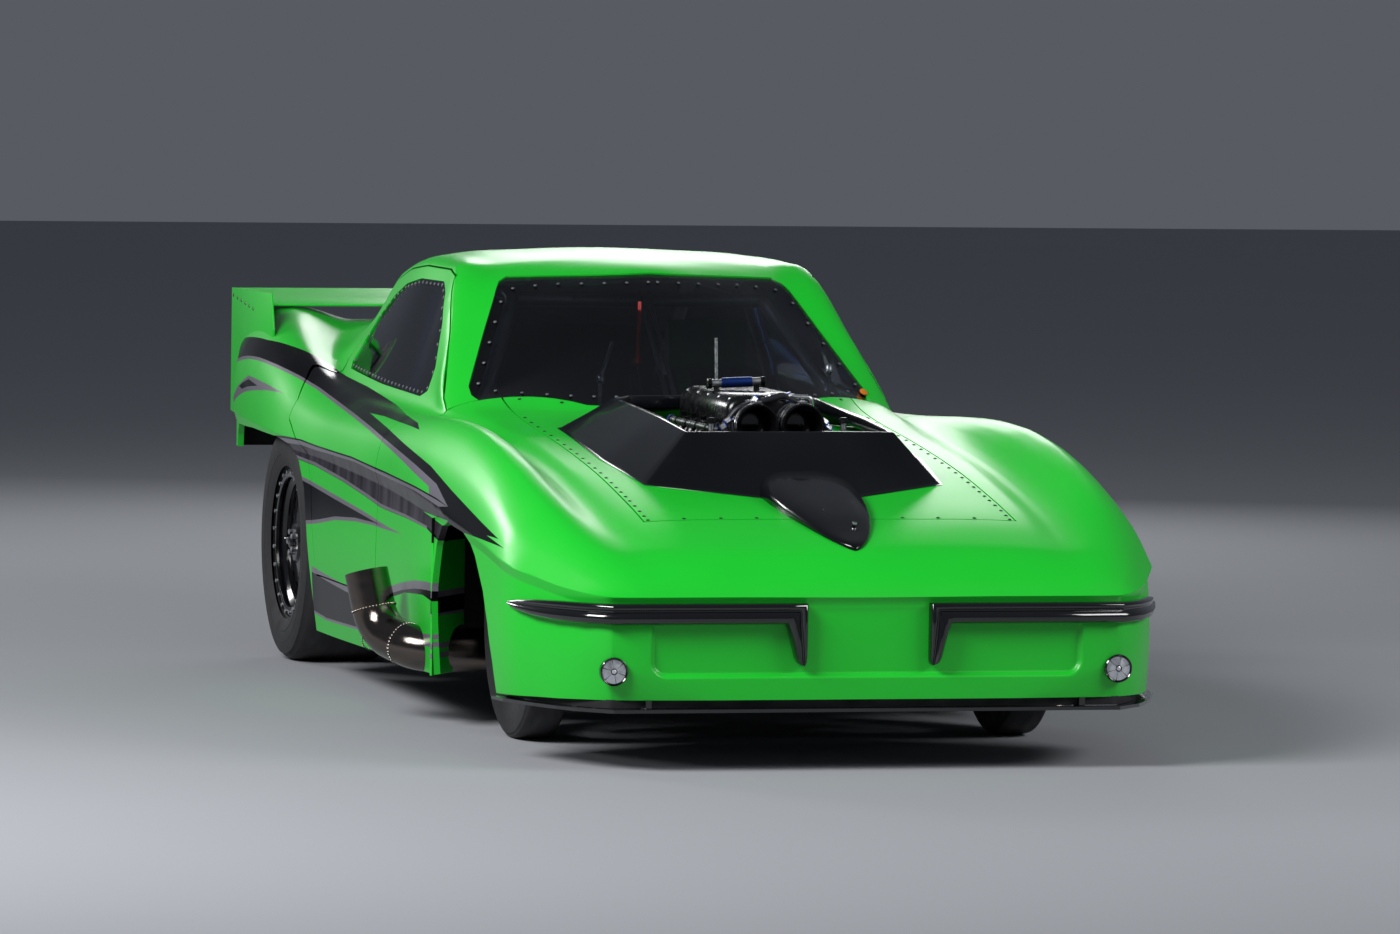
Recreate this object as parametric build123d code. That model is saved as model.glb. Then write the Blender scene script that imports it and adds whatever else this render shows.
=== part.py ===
# Doorslammer drag racing car: a low two-door fastback body on a tube chassis,
# with an open engine in the hood, big rear slicks, parachutes and a wheelie bar.
# Millimetres, +Z up, the nose points to -Y and the car's left side is +X.
# The model is laid out with y = 0 at the front axle, and moved to its origin when saved.
from build123d import *
from math import hypot
import os

os.makedirs("parts", exist_ok=True)

# Driving dimensions
WHEELBASE = 2540
NOSE_Y = -1005
TAIL_Y = 3450
WALL = 18              # thickness of the body panels and the doors
GLASS = 5              # thickness of the polycarbonate windows
GLASS_SET = 5          # how far the windows lie under the outer skin
SEAM = 6               # gap between two fixed panels
DOOR_GAP = 12          # gap round a door, wide enough for its swing
FIT = 0.3              # clearance of pieces that sit on each other

FRONT_TYRE = dict(radius=312, width=120, bead=198, x=690)
REAR_TYRE = dict(radius=358, width=312, bead=212, x=702)
WHEELIE_TYRE = dict(radius=62, width=44, bore=8, x=90)
FRONT_Z = FRONT_TYRE["radius"]
AXLE_Z = REAR_TYRE["radius"]
WHEELIE_Y = WHEELBASE + 1440
WHEELIE_Z = 112        # the wheelie wheels hang clear of the ground
BLADE_REACH = 26       # how far the bumper blades stand ahead of the nose
ORIGIN_Y = (WHEELIE_Y + WHEELIE_TYRE["radius"] + NOSE_Y - BLADE_REACH) / 2

# Body lines, each a list of (y, x, z) from the nose to the tail. A section of the
# body joins the lines in this order, from the middle of the roof down to the sill.
LINES = {
    "centre": [
        (-1005, 0, 464), (-975, 0, 503), (-930, 0, 540), (-856, 0, 582), (-774, 0, 608),
        (-652, 0, 637), (-400, 0, 684), (0, 0, 745), (475, 0, 800), (800, 0, 838),
        (925, 0, 862), (1148, 0, 1022), (1450, 0, 1237), (1530, 0, 1254), (1660, 0, 1268),
        (1950, 0, 1280), (2400, 0, 1262), (2700, 0, 1205), (3000, 0, 1110), (3250, 0, 1030),
        (3450, 0, 1005)],
    "middle": [
        (-1005, 200, 465), (-975, 210, 503), (-930, 220, 540), (-856, 230, 581),
        (-774, 235, 607), (-652, 240, 637), (-400, 245, 684), (0, 250, 745), (475, 260, 800),
        (800, 270, 836), (925, 290, 855), (1148, 305, 985), (1450, 245, 1205),
        (1530, 225, 1238), (1660, 225, 1262), (1950, 225, 1274), (2400, 215, 1253),
        (2700, 190, 1190), (3000, 155, 1095), (3250, 120, 1025), (3450, 110, 1005)],
    "screen edge": [
        (-1005, 350, 466), (-975, 365, 502), (-930, 385, 539), (-856, 405, 579),
        (-774, 415, 604), (-652, 425, 635), (-400, 435, 683), (0, 445, 745), (475, 460, 800),
        (800, 490, 832), (925, 530, 846), (1148, 612, 869), (1340, 518, 1038),
        (1530, 423, 1204), (1660, 420, 1246), (1950, 425, 1262), (2400, 405, 1235),
        (2700, 360, 1165), (3000, 290, 1070), (3250, 225, 1015), (3450, 205, 1003)],
    "pillar": [
        (-1005, 450, 466), (-975, 475, 501), (-930, 500, 537), (-856, 520, 575),
        (-774, 530, 599), (-652, 545, 629), (-400, 560, 679), (0, 565, 744), (475, 575, 797),
        (800, 600, 822), (925, 625, 832), (1148, 662, 842), (1200, 664, 868),
        (1400, 600, 1055), (1580, 550, 1205), (1660, 533, 1236), (1950, 540, 1234),
        (2400, 520, 1186), (2700, 475, 1115), (3000, 395, 1035), (3250, 330, 1008),
        (3450, 300, 1001)],
    "belt": [
        (-1005, 520, 466), (-975, 550, 500), (-930, 575, 534), (-856, 600, 569),
        (-774, 615, 592), (-652, 630, 620), (-560, 640, 640), (-400, 647, 670), (-200, 652, 704),
        (0, 655, 734), (250, 657, 764), (475, 660, 785), (800, 668, 806), (1148, 682, 824),
        (1500, 690, 834), (1950, 695, 846), (2400, 688, 866), (2700, 655, 908),
        (3000, 590, 962), (3250, 510, 995), (3450, 470, 998)],
    "crown": [
        (-1005, 600, 466), (-975, 640, 497), (-930, 675, 528), (-856, 712, 565),
        (-774, 738, 598), (-652, 762, 646), (-560, 776, 682), (-400, 786, 735), (-200, 790, 787),
        (0, 790, 822), (250, 790, 846), (475, 790, 851), (800, 784, 842), (1148, 770, 824),
        (1500, 765, 815), (1950, 765, 815), (2200, 766, 829), (2400, 766, 856),
        (2700, 760, 932), (3000, 745, 1002), (3250, 730, 1036), (3450, 722, 1040)],
    "shoulder": [
        (-1005, 655, 466), (-975, 697, 485), (-930, 734, 506), (-856, 775, 534),
        (-774, 809, 560), (-652, 850, 598), (-560, 866, 626), (-400, 876, 668), (-200, 881, 706),
        (0, 882, 734), (250, 882, 756), (475, 880, 768), (800, 870, 768), (1148, 852, 762),
        (1500, 842, 757), (1950, 840, 757), (2400, 852, 790), (2700, 858, 852),
        (3000, 848, 905), (3250, 825, 930), (3450, 800, 938)],
    "crease": [
        (-1005, 700, 466), (-975, 736, 470), (-930, 772, 476), (-856, 816, 487),
        (-774, 852, 502), (-652, 898, 522), (-560, 910, 537), (-400, 913, 562), (0, 913, 600),
        (400, 906, 636), (1148, 876, 664), (1950, 870, 684), (2540, 893, 696), (3000, 880, 706),
        (3250, 858, 712), (3450, 830, 716)],
    "undercut": [
        (-1005, 696, 440), (-975, 730, 442), (-930, 764, 447), (-856, 807, 458),
        (-774, 842, 472), (-652, 887, 492), (-560, 899, 506), (-400, 902, 530), (0, 902, 566),
        (400, 895, 600), (1148, 865, 628), (1950, 859, 648), (2540, 882, 660), (3000, 869, 668),
        (3250, 847, 672), (3450, 818, 676)],
    "side": [
        (-1005, 700, 320), (-930, 770, 320), (-856, 814, 320), (-774, 850, 320),
        (-652, 895, 320), (-560, 908, 320), (-400, 912, 330), (400, 904, 350), (1148, 872, 370),
        (1950, 868, 390), (2540, 886, 400), (3000, 868, 400), (3450, 815, 400)],
    "sill": [
        (-1005, 697, 192), (-930, 766, 190), (-856, 809, 187), (-774, 844, 184),
        (-652, 888, 178), (-560, 901, 174), (-400, 905, 168), (400, 892, 150), (1148, 858, 139),
        (1950, 853, 130), (2540, 868, 130), (3450, 800, 130)],
}
STATIONS = [-1005, -975, -930, -856, -774, -652, -560, -400, -200, 0, 250, 475, 800, 925, 1148,
            1340, 1530, 1660, 1950, 2200, 2400, 2700, 3000, 3250, 3450]


def along(line, y):
    """The (x, z) of a body line at y, straight between its points."""
    points = LINES[line]
    for (y0, x0, z0), (y1, x1, z1) in zip(points, points[1:]):
        if y <= y1:
            t = max(0, (y - y0) / (y1 - y0))
            return x0 + (x1 - x0) * t, z0 + (z1 - z0) * t
    return points[-1][1], points[-1][2]


def half_section(y, inset):
    """Points of the right half section at y, moved inwards by inset."""
    points = [along(line, y) for line in LINES]
    moved = []
    for i, (x, z) in enumerate(points):
        before = points[i - 1] if i else (-points[1][0], points[1][1])
        after = points[i + 1] if i + 1 < len(points) else (x, z - 1)
        edges = [(x - before[0], z - before[1]), (after[0] - x, after[1] - z)]
        units = [(ex / hypot(ex, ez), ez / hypot(ex, ez)) for ex, ez in edges]
        nx = units[0][1] + units[1][1]
        nz = -units[0][0] - units[1][0]
        scale = inset / (1 + units[0][0] * units[1][0] + units[0][1] * units[1][1])
        moved.append((max(0, x + nx * scale), z + nz * scale))
    moved[0] = (0, moved[0][1])
    return moved


def body_solid(inset, below):
    """The closed body form, its skin moved in by inset and its floor let down by below."""
    wires = []
    for y in STATIONS:
        place = y
        if y == STATIONS[0]:
            place = y + inset
        if y == STATIONS[-1]:
            place = y - inset
        half = half_section(place, inset)
        x, z = half[-1]
        half[-1] = (x, z - below)
        ring = [Vector(px, place, pz) for px, pz in half]
        ring += [Vector(-px, place, pz) for px, pz in reversed(half[1:])]
        wires.append(Wire.make_polygon(ring, close=True))
    return Solid.make_loft(wires, ruled=True)


def save(name, shape):
    """Write one sub-part, moved from the front axle to the car's own origin."""
    export_step(Pos(0, -ORIGIN_Y, 0) * shape, f"parts/{name}.step")


def other_side(shape):
    """The same piece on the other side of the car."""
    return mirror(shape, about=Plane.YZ)


def pair(shape):
    """A left piece and its mirror image, as two solids of one sub-part."""
    return Compound(children=[shape, other_side(shape)])


def save_sides(name, shape):
    """Write a left piece and its mirror image as two sub-parts."""
    save(f"{name}_left", shape)
    save(f"{name}_right", other_side(shape))


def tube(start, end, radius):
    """A round bar between two points."""
    start, end = Vector(*start), Vector(*end)
    return Solid.make_cylinder(radius, (end - start).length, Plane(start, z_dir=end - start))


def bent_tube(points, radius, bend):
    """A round bar through points, bent at each corner."""
    line = FilletPolyline(*points, radius=bend)
    return sweep(Plane(line @ 0, z_dir=line % 0) * Circle(radius), path=line)


def prism_x(outline, x0, x1):
    """A prism along X with the outline given as (y, z)."""
    face = Face(Wire.make_polygon([Vector(x0, y, z) for y, z in outline], close=True))
    return Solid.extrude(face, Vector(x1 - x0, 0, 0))


def prism_y(outline, y0, y1):
    """A prism along Y with the outline given as (x, z)."""
    face = Face(Wire.make_polygon([Vector(x, y0, z) for x, z in outline], close=True))
    return Solid.extrude(face, Vector(0, y1 - y0, 0))


def prism_z(outline, z0, z1):
    """A prism along Z with the outline given as (x, y)."""
    face = Face(Wire.make_polygon([Vector(x, y, z0) for x, y in outline], close=True))
    return Solid.extrude(face, Vector(0, 0, z1 - z0))


def block_of(x0, x1, y0, y1, z0, z1):
    """A block between two corners."""
    return Pos((x0 + x1) / 2, (y0 + y1) / 2, (z0 + z1) / 2) * Box(x1 - x0, y1 - y0, z1 - z0)


def full_ring(half):
    """A half ring from the middle plane round to it again, mirrored to a whole one."""
    return half + [(-x, *rest) for x, *rest in reversed(half[1:-1])]


def prismatoid(lower, upper):
    """A solid between two rings of as many points, its sides and ends cut into triangles."""
    low = [Vector(*p) for p in lower]
    high = [Vector(*p) for p in upper]
    count = len(low)
    triangles = []
    for i in range(count):
        j = (i + 1) % count
        triangles += [(low[i], low[j], high[j]), (low[i], high[j], high[i])]
    for i in range(1, count - 1):
        triangles += [(low[0], low[i + 1], low[i]), (high[0], high[i], high[i + 1])]
    faces = [Face(Wire.make_polygon(list(t), close=True)) for t in triangles]
    return Solid(Shell(faces))


def ring_about_x(profile):
    """A solid of revolution about the X axis from (x, radius) points."""
    face = Face(Wire.make_polygon([Vector(px, 0, r) for px, r in profile], close=True))
    return revolve(face, Axis.X)


def grown(outline, amount):
    """An outline moved outwards by amount, inwards when it is negative."""
    face = Face(Wire.make_polygon([Vector(a, b, 0) for a, b in outline], close=True))
    wire = face.outer_wire().offset_2d(amount, kind=Kind.INTERSECTION)
    corners = [edge.position_at(0) for edge in wire.order_edges()]
    return [(p.X, p.Y) for p in corners]


# Where the body is cut: in side view as (y, z), in plan as (x, y), from the front as (x, z)
SIDE_REACH = 1200      # further out than any body side
TOP_REACH = 1500       # higher than the roof
BEHIND = TAIL_Y + 200  # further back than the body
ARCH_INNER = 560       # the wheel arches open outwards from here
DOOR_INNER = 360       # the doors reach inwards to here, at the roof
DOOR_FRONT = 1150
DOOR_EDGE = DOOR_FRONT + 2
CLIP_EDGE = [(0, 905), (300, 948), (595, 1118), (668, DOOR_FRONT), (SIDE_REACH, DOOR_FRONT)]
SCREEN_BACK = 25       # the windshield starts this far behind the edge of the clip
HOOD_PANEL = dict(front=-612, half_width=522)
OPENING = dict(front=-168, rear=690, half_width=284)
ARCH_FRONT = [(-525, 60), (-522, 172), (-492, 256), (-442, 352), (-372, 434), (-250, 522),
              (-130, 578), (60, 590), (170, 575), (225, 520), (262, 400), (270, 60)]
ARCH_REAR = [(2015, 60), (2060, 215), (2120, 430), (2165, 545), (2240, 625), (2340, 668),
             (2480, 684), (2900, 686), (3300, 676), (3345, 640), (3370, 600),
             (BEHIND, 600), (BEHIND, 60)]
DOOR = [(DOOR_EDGE, 300), (DOOR_EDGE, 838), (1205, 870), (1400, 1050), (1590, 1212),
        (1668, 1226), (1950, 1226), (2200, 1206), (2400, 1168), (2530, 1105), (2600, 1010),
        (2600, 915), (2500, 865), (2400, 800), (2385, 745), (2150, 655), (2085, 560),
        (2048, 430), (2000, 300)]
SIDE_WINDOW = [(1425, 880), (1420, 950), (1500, 1075), (1600, 1160), (1680, 1190),
               (1950, 1188), (2150, 1164), (2300, 1122), (2440, 1050), (2510, 975),
               (2515, 915), (2460, 892), (1950, 872), (1480, 862)]
SCREEN = [(-590, 862), (-600, 885), (-432, 1190), (-415, 1212), (0, 1230),
          (415, 1212), (432, 1190), (600, 885), (590, 862)]
REAR_PANE = [(38, 2290), (38, 2850), (150, 2830), (232, 2760), (262, 2600), (262, 2400),
             (225, 2290)]
# Rear wall of a front wheel arch, leaning inwards behind the tyre
ARCH_WALL = [(905, 262), (772, 440), (772, 462), (905, 284)]


def clip_region(back):
    """Everything ahead of the rear edge of the front clip, moved back by back."""
    edge = [(x, y + back) for x, y in CLIP_EDGE]
    mirrored = [(-x, y) for x, y in reversed(edge[1:])]
    corners = [(SIDE_REACH, NOSE_Y - 200), (-SIDE_REACH, NOSE_Y - 200)]
    return prism_z(corners + mirrored + edge, 0, TOP_REACH)


def hood_region(gap):
    """The place of the riveted hood panel, grown by gap on its front and sides."""
    half = HOOD_PANEL["half_width"] + gap
    return block_of(-half, half, HOOD_PANEL["front"] - gap, DOOR_FRONT, 0, TOP_REACH)


def side_prism(outline, gap):
    """A prism through the car's left side, grown by gap."""
    return prism_x(grown(outline, gap), DOOR_INNER, SIDE_REACH)


outer = body_solid(0, 0)
inner = body_solid(WALL, 200)
shell = outer - inner
for arch in (ARCH_FRONT, ARCH_REAR):
    hole = prism_x(arch, ARCH_INNER, SIDE_REACH)
    shell = shell - hole - other_side(hole)
shell = shell - block_of(-ARCH_INNER, ARCH_INNER, 2900, BEHIND, 60, 600)
front = shell & clip_region(-SEAM / 2)
rest = shell - clip_region(SEAM / 2)

# Exhausts: a collector on each side that leaves the nose behind the wheel and turns up
PIPE = dict(radius=62, wall=3, bend=110, hole=71)
PIPE_ROUTE = [(415, 425, 214), (900, 425, 205), (985, 585, 250), (1015, 620, 415)]
pipe_line = FilletPolyline(*PIPE_ROUTE, radius=PIPE["bend"])
pipe_end = Plane(pipe_line @ 0, z_dir=pipe_line % 0)
pipe_hole = sweep(pipe_end * Circle(PIPE["hole"]), path=pipe_line)
arch_wall = (prism_z(ARCH_WALL, 150, 590) & inner) - pipe_hole
front = front - pipe_hole - other_side(pipe_hole)
front = front + arch_wall + other_side(arch_wall)

# Nose, hood panel, doors and the rest of the shell
opening = block_of(-OPENING["half_width"], OPENING["half_width"], OPENING["front"],
                   OPENING["rear"], 500, TOP_REACH)
hood_panel = (front & hood_region(-SEAM / 2)) - opening
front = front - hood_region(SEAM / 2)
save("front_clip", front)
save("hood_panel", hood_panel)

glass_shell = body_solid(GLASS_SET, 200) - body_solid(GLASS_SET + GLASS, 200)
screen_prism = prism_y(SCREEN, 820, 1650) - clip_region(SCREEN_BACK)
pane_prism = prism_z(REAR_PANE, 900, TOP_REACH)
window_prism = side_prism(SIDE_WINDOW, 0)
save("windshield", glass_shell & screen_prism)
save("rear_windows", pair(glass_shell & pane_prism))
save_sides("door_window", glass_shell & window_prism)
rest = rest - screen_prism - pane_prism - other_side(pane_prism)
door_hole = side_prism(DOOR, DOOR_GAP / 2)
door = (rest & side_prism(DOOR, -DOOR_GAP / 2)) - window_prism
# Two hinges at the front edge, their pins fixed on arms of the roll cage
HINGE = dict(x=862, y=1174, pin=3, knuckle=5, half=8, reach=18)
HINGE_ARMS = {365: [(565, 1105), (565, 1135), (845, 1180), (860, 1180), (860, 1168)],
              667: [(565, 1172), (565, 1192), (860, 1180), (860, 1168)]}
hinges = []
for z, arm in HINGE_ARMS.items():
    centre = (HINGE["x"], HINGE["y"])
    pin = tube((*centre, z - HINGE["reach"]), (*centre, z + HINGE["reach"]), HINGE["pin"])
    knuckle = tube((*centre, z - HINGE["half"]), (*centre, z + HINGE["half"]), HINGE["knuckle"])
    hinges.append(prism_z(arm, z - HINGE["half"], z + HINGE["half"]) + knuckle + pin)
    notch = block_of(830, 868.5, 1150, 1182, z - HINGE["half"] - 2, z + HINGE["half"] + 2)
    bore = tube((*centre, z - HINGE["reach"] - 3), (*centre, z + HINGE["reach"] + 3),
                HINGE["pin"] + FIT)
    door = door - notch - bore
save_sides("door", door)
body_shell = rest - door_hole - other_side(door_hole)
save("body_shell", body_shell)

# Black hood cowl round the open engine, with a teardrop spear on its nose
BITE = 6               # how far a cowl's foot starts under the hood's skin
COWL_FOOT = [(0, -372), (130, -372), (418, -215), (452, 120), (452, 640), (300, 720), (0, 745)]
COWL_TOP = [(0, -180, 858), (120, -180, 858), (296, -176, 856), (300, 120, 880),
            (300, 640, 905), (250, 702, 908), (0, 705, 910)]
SPEAR_FOOT = [(0, -866), (58, -838), (98, -720), (126, -560), (135, -368), (0, -368)]
SPEAR_TOP = [(0, -800, 622), (26, -785, 622), (48, -700, 655), (66, -560, 688),
             (78, -330, 742), (0, -330, 752)]


def on_hood(foot, top):
    """A raised form on the hood: its foot as (x, y), its top as (x, y, z)."""
    ring = [(x, y, along("middle", y)[1] - BITE) for x, y in foot]
    return prismatoid(full_ring(ring), full_ring(top)) - outer


save("hood_cowl", (on_hood(COWL_FOOT, COWL_TOP) - opening) + on_hood(SPEAR_FOOT, SPEAR_TOP))

# Bumper blades, round lamps and splitter on the nose
BLADE = dict(low=405, high=449, corner=850, corner_reach=18)
BLADE_STOPS = [170, 700, 765, 816, 852, 898]
BLADE_TIP = [(170, 406), (226, 406), (203, 292), (190, 292)]
LAMP = dict(x=698, z=270, radius=38, depth=16)
SPLITTER = [(0, NOSE_Y - 18), (700, NOSE_Y - 18), (780, -940), (822, -870), (862, -780),
            (912, -640), (925, -560), (880, -560), (840, -660), (0, -660)]
SPLITTER_Z = (160, 169)


def nose_y(x):
    """Front of the nose at x, along the crease."""
    points = [(px, py) for py, px, _ in LINES["crease"] if py <= -400]
    if x <= points[0][0]:
        return points[0][1]
    for (x0, y0), (x1, y1) in zip(points, points[1:]):
        if x <= x1:
            return y0 + (y1 - y0) * (x - x0) / (x1 - x0)
    return points[-1][1]


blade_front = []
for x in BLADE_STOPS:
    reach = BLADE_REACH if x < BLADE["corner"] else BLADE["corner_reach"]
    blade_front.append((x, nose_y(x) - reach))
blade_back = [(x - 6, nose_y(x) + 22) for x in reversed(BLADE_STOPS)]
blade = prism_z(blade_front + blade_back, BLADE["low"], BLADE["high"])
blade = (blade + prism_y(BLADE_TIP, NOSE_Y - BLADE_REACH, NOSE_Y + 3)) - outer
save("bumper_blades", pair(blade))
save("front_lamps", pair(tube((LAMP["x"], NOSE_Y - LAMP["depth"], LAMP["z"]),
                              (LAMP["x"], NOSE_Y, LAMP["z"]), LAMP["radius"])))
splitter = prism_z(full_ring(SPLITTER), *SPLITTER_Z)
for x, y in ((600, -999), (760, -880)):
    stay = block_of(x - 8, x + 8, y, y + 50, SPLITTER_Z[1], 215) - outer
    splitter = splitter + stay + other_side(stay)
save("splitter", splitter)

# Chassis: two rails of round tube with cross tubes, a tow eye and two plates for the engine
FLOOR = dict(z=150, thick=4, half_width=900, flat_half=826, rear=2030)
RAIL = dict(x=560, nose_x=330, tail_x=430, nose_z=230, radius=25)
RAIL_Z = FLOOR["z"] + FLOOR["thick"] / 2 + RAIL["radius"]
FIREWALL_Y = 905
BLOCK = dict(front=-60, rear=600)
PLATE_THICK = 6
rail = bent_tube([(RAIL["nose_x"], -780, RAIL["nose_z"]), (RAIL["nose_x"], 760, RAIL["nose_z"]),
                  (RAIL["x"], 1060, RAIL_Z), (RAIL["x"], 2030, RAIL_Z),
                  (RAIL["tail_x"], 2180, 300), (RAIL["tail_x"], 2380, 480),
                  (RAIL["tail_x"], 2720, 480), (RAIL["tail_x"], 3250, 420)], RAIL["radius"], 90)
rail = rail + tube((RAIL["nose_x"], -780, RAIL["nose_z"]),
                   (RAIL["nose_x"], NOSE_Y + WALL, RAIL["nose_z"]), RAIL["radius"] - 5)
chassis = rail + other_side(rail)
CROSS_TUBES = [(-750, 335, 230), (-330, 335, 230), (1150, 560, RAIL_Z), (2005, 560, RAIL_Z),
               (3230, 432, 418)]
for y, x, z in CROSS_TUBES:
    chassis = chassis + tube((-x, y, z), (x, y, z), RAIL["radius"] - 2)
TOW_EYE = dict(y=-815, radius=34, bore=20, half=6)
eye_ends = [(x * TOW_EYE["half"], TOW_EYE["y"], RAIL["nose_z"]) for x in (-1, 1)]
eye = tube(*eye_ends, TOW_EYE["radius"])
eye = eye + block_of(-TOW_EYE["half"], TOW_EYE["half"], TOW_EYE["y"], -750, 215, 245)
eye = eye - tube(*eye_ends, TOW_EYE["bore"])
chassis = chassis + eye
PLATE_FACE = [(0, 200), (335, 200), (335, 240), (290, 300), (255, 400), (200, 560), (0, 600)]
for y in (BLOCK["front"] - PLATE_THICK, BLOCK["rear"]):
    chassis = chassis + prism_y(full_ring(PLATE_FACE), y, y + PLATE_THICK)

# Strut towers and the tray of the parachutes, welded to the rails
KING_X = 575
STRUT_TOP = 640
TRAY = dict(z=358, thick=10, front=3220, rear=3620, half_width=330)
tower = tube((KING_X, 0, STRUT_TOP + FIT), (KING_X, 0, STRUT_TOP + 35), 45)
for y in (-330, 330):
    tower = tower + tube((KING_X - 42, y / 33, STRUT_TOP + 20), (RAIL["nose_x"], y, 240), 16)
chassis = chassis + tower + other_side(tower)
tray = block_of(-TRAY["half_width"], TRAY["half_width"], TRAY["front"], TRAY["rear"],
                TRAY["z"] - TRAY["thick"] / 2, TRAY["z"] + TRAY["thick"] / 2)
chassis = chassis + tray + block_of(-450, 450, TRAY["front"], TRAY["front"] + 20, 355, 410)
SHOCK = dict(x=495, y=2600, low=300, high=690)
chassis = chassis + tube((-SHOCK["x"] - 20, SHOCK["y"], SHOCK["high"]),
                         (SHOCK["x"] + 20, SHOCK["y"], SHOCK["high"]), 20)
for x in (-RAIL["tail_x"], RAIL["tail_x"]):
    chassis = chassis + tube((x, SHOCK["y"], 480), (x, SHOCK["y"], SHOCK["high"]), 18)
save("chassis_frame", chassis)

# Roll cage: the main hoop, a side bar with the door hinges on each side, and the braces
CAGE_R = 22
BRACE_R = CAGE_R - 2
HOOP_TOP = (300, 2085, 1205)
SIDE_BAR = [(470, 2080, 1150), (430, 1720, 1180), (375, 1560, 1150), (560, 1210, 800),
            (560, 1080, RAIL_Z)]
CROSS_BARS = [(385, 1560, 1140), (550, 1216, 780), (592, 2026, 620)]
half_hoop = [(560, 2005, RAIL_Z), (600, 2030, 700), (470, 2080, 1150), HOOP_TOP]
hoop = bent_tube(half_hoop + [(-x, y, z) for x, y, z in reversed(half_hoop)], CAGE_R, 90) - chassis
side_bar = bent_tube(SIDE_BAR, CAGE_R, 90) - hoop
for hinge in hinges:
    side_bar = side_bar + hinge
side_bars = pair(side_bar - chassis)
brace = bent_tube([HOOP_TOP, (400, 2950, 760), (430, 3180, 412)], CAGE_R, 90) - hoop - chassis
braces = [*pair(brace.solids().sort_by(SortBy.VOLUME)[-1]).solids()]
for x, y, z in CROSS_BARS:
    bar = tube((-x, y, z), (x, y, z), BRACE_R) - hoop - side_bars
    braces.append(bar.solids().sort_by(SortBy.VOLUME)[-1])
braces = Compound(children=braces)
cage = Compound(children=[*hoop.solids(), *side_bars.solids(), *braces.solids()])
save("cage_hoop", hoop)
save("cage_side_bars", side_bars)
save("cage_braces", braces)

# Engine with its sump between the two plates, gearbox and driveline behind it
BLOCK_FACE = [(-150, 235), (150, 235), (240, 400), (230, 560), (60, 620), (-60, 620),
              (-230, 560), (-240, 400)]
SUMP_FACE = [(-140, 172), (140, 172), (150, 235), (-150, 235)]
HEAD_FACE = [(242, 410), (345, 480), (310, 640), (205, 655), (130, 598), (225, 555)]
COVER_FACE = [(310, 640), (345, 480), (385, 520), (370, 650), (300, 705), (220, 700),
              (205, 655)]
GEARBOX = dict(radius=100, rear=1390)
block = prism_y(BLOCK_FACE, BLOCK["front"], BLOCK["rear"]) + prism_y(SUMP_FACE, 0, 540)
save("engine_block", block)
head = (prism_y(HEAD_FACE, BLOCK["front"] + 20, BLOCK["rear"] - 20)
        + prism_y(COVER_FACE, BLOCK["front"] + 40, BLOCK["rear"] - 40)) - block
save("cylinder_heads", pair(head))
save("gearbox", tube((0, BLOCK["rear"] + PLATE_THICK, AXLE_Z), (0, GEARBOX["rear"], AXLE_Z),
                     GEARBOX["radius"]))
PINION_Y = WHEELBASE - 220
save("driveshaft", tube((0, GEARBOX["rear"], AXLE_Z), (0, PINION_Y, AXLE_Z), 50))

# Rear axle with the brackets of its links, and the stubs that carry the wheels
STUB = dict(radius=24, reach=790)
AXLE_TUBE = dict(radius=45, reach=530)
axle = tube((-120, WHEELBASE, AXLE_Z), (120, WHEELBASE, AXLE_Z), 150)
axle = axle + tube((0, PINION_Y, AXLE_Z), (0, WHEELBASE, AXLE_Z), 70)
for radius, reach in ((AXLE_TUBE["radius"], AXLE_TUBE["reach"]), (STUB["radius"], STUB["reach"])):
    axle = axle + tube((-reach, WHEELBASE, AXLE_Z), (reach, WHEELBASE, AXLE_Z), radius)
save("rear_axle", axle)

# Exhaust collectors with four pipes from each head
pipe = sweep(pipe_end * (Circle(PIPE["radius"]) - Circle(PIPE["radius"] - PIPE["wall"])),
             path=pipe_line)
plug = tube(pipe_line @ 0, pipe_line @ 0 + (pipe_line % 0) * 45, PIPE["radius"])
headers = plug
for i in range(4):
    headers = headers + tube((290, 180 + 105 * i, 470), (440, 425, 240), 21)
pipe = (pipe + headers) - head - block
save("exhausts", pair(pipe))

# Intake on top of the engine, with two round inlets to the front
PLENUM = dict(front=20, rear=560, half_width=130, low=780, top=945, round=45)
INLET = dict(x=66, z=868, radius=61, wall=5, front=-75)
RUNNERS = [(0, 600), (60, 600), (120, 700), (125, 785), (0, 785)]
plenum = block_of(-PLENUM["half_width"], PLENUM["half_width"], PLENUM["front"],
                  PLENUM["rear"], PLENUM["low"], PLENUM["top"])
plenum = fillet(plenum.edges().filter_by(Axis.Y).group_by(Axis.Z)[-1], PLENUM["round"])
runners = prism_y(full_ring(RUNNERS), 60, 540) - block - head - other_side(head)
save("intake_manifold", plenum + runners)
inlet_ends = [(INLET["x"], y, INLET["z"]) for y in (INLET["front"], PLENUM["front"])]
inlet = tube(*inlet_ends, INLET["radius"]) - tube(*inlet_ends, INLET["radius"] - INLET["wall"])
save("throttle_bodies", pair(inlet))

# Wheels: each is a tyre and a rim that turn together
TREAD_SHARE = 0.86     # tread width over tyre width
SEAT_SHARE = 0.80      # rim width over tyre width
RIMS = {"front": dict(offset=22, windows=12, hole=22, ring=130, hub=48, depth=60),
        "rear": dict(offset=96, windows=15, hole=20, ring=150, hub=62, depth=90)}
SPINDLE = dict(radius=20, reach=705)


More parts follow.
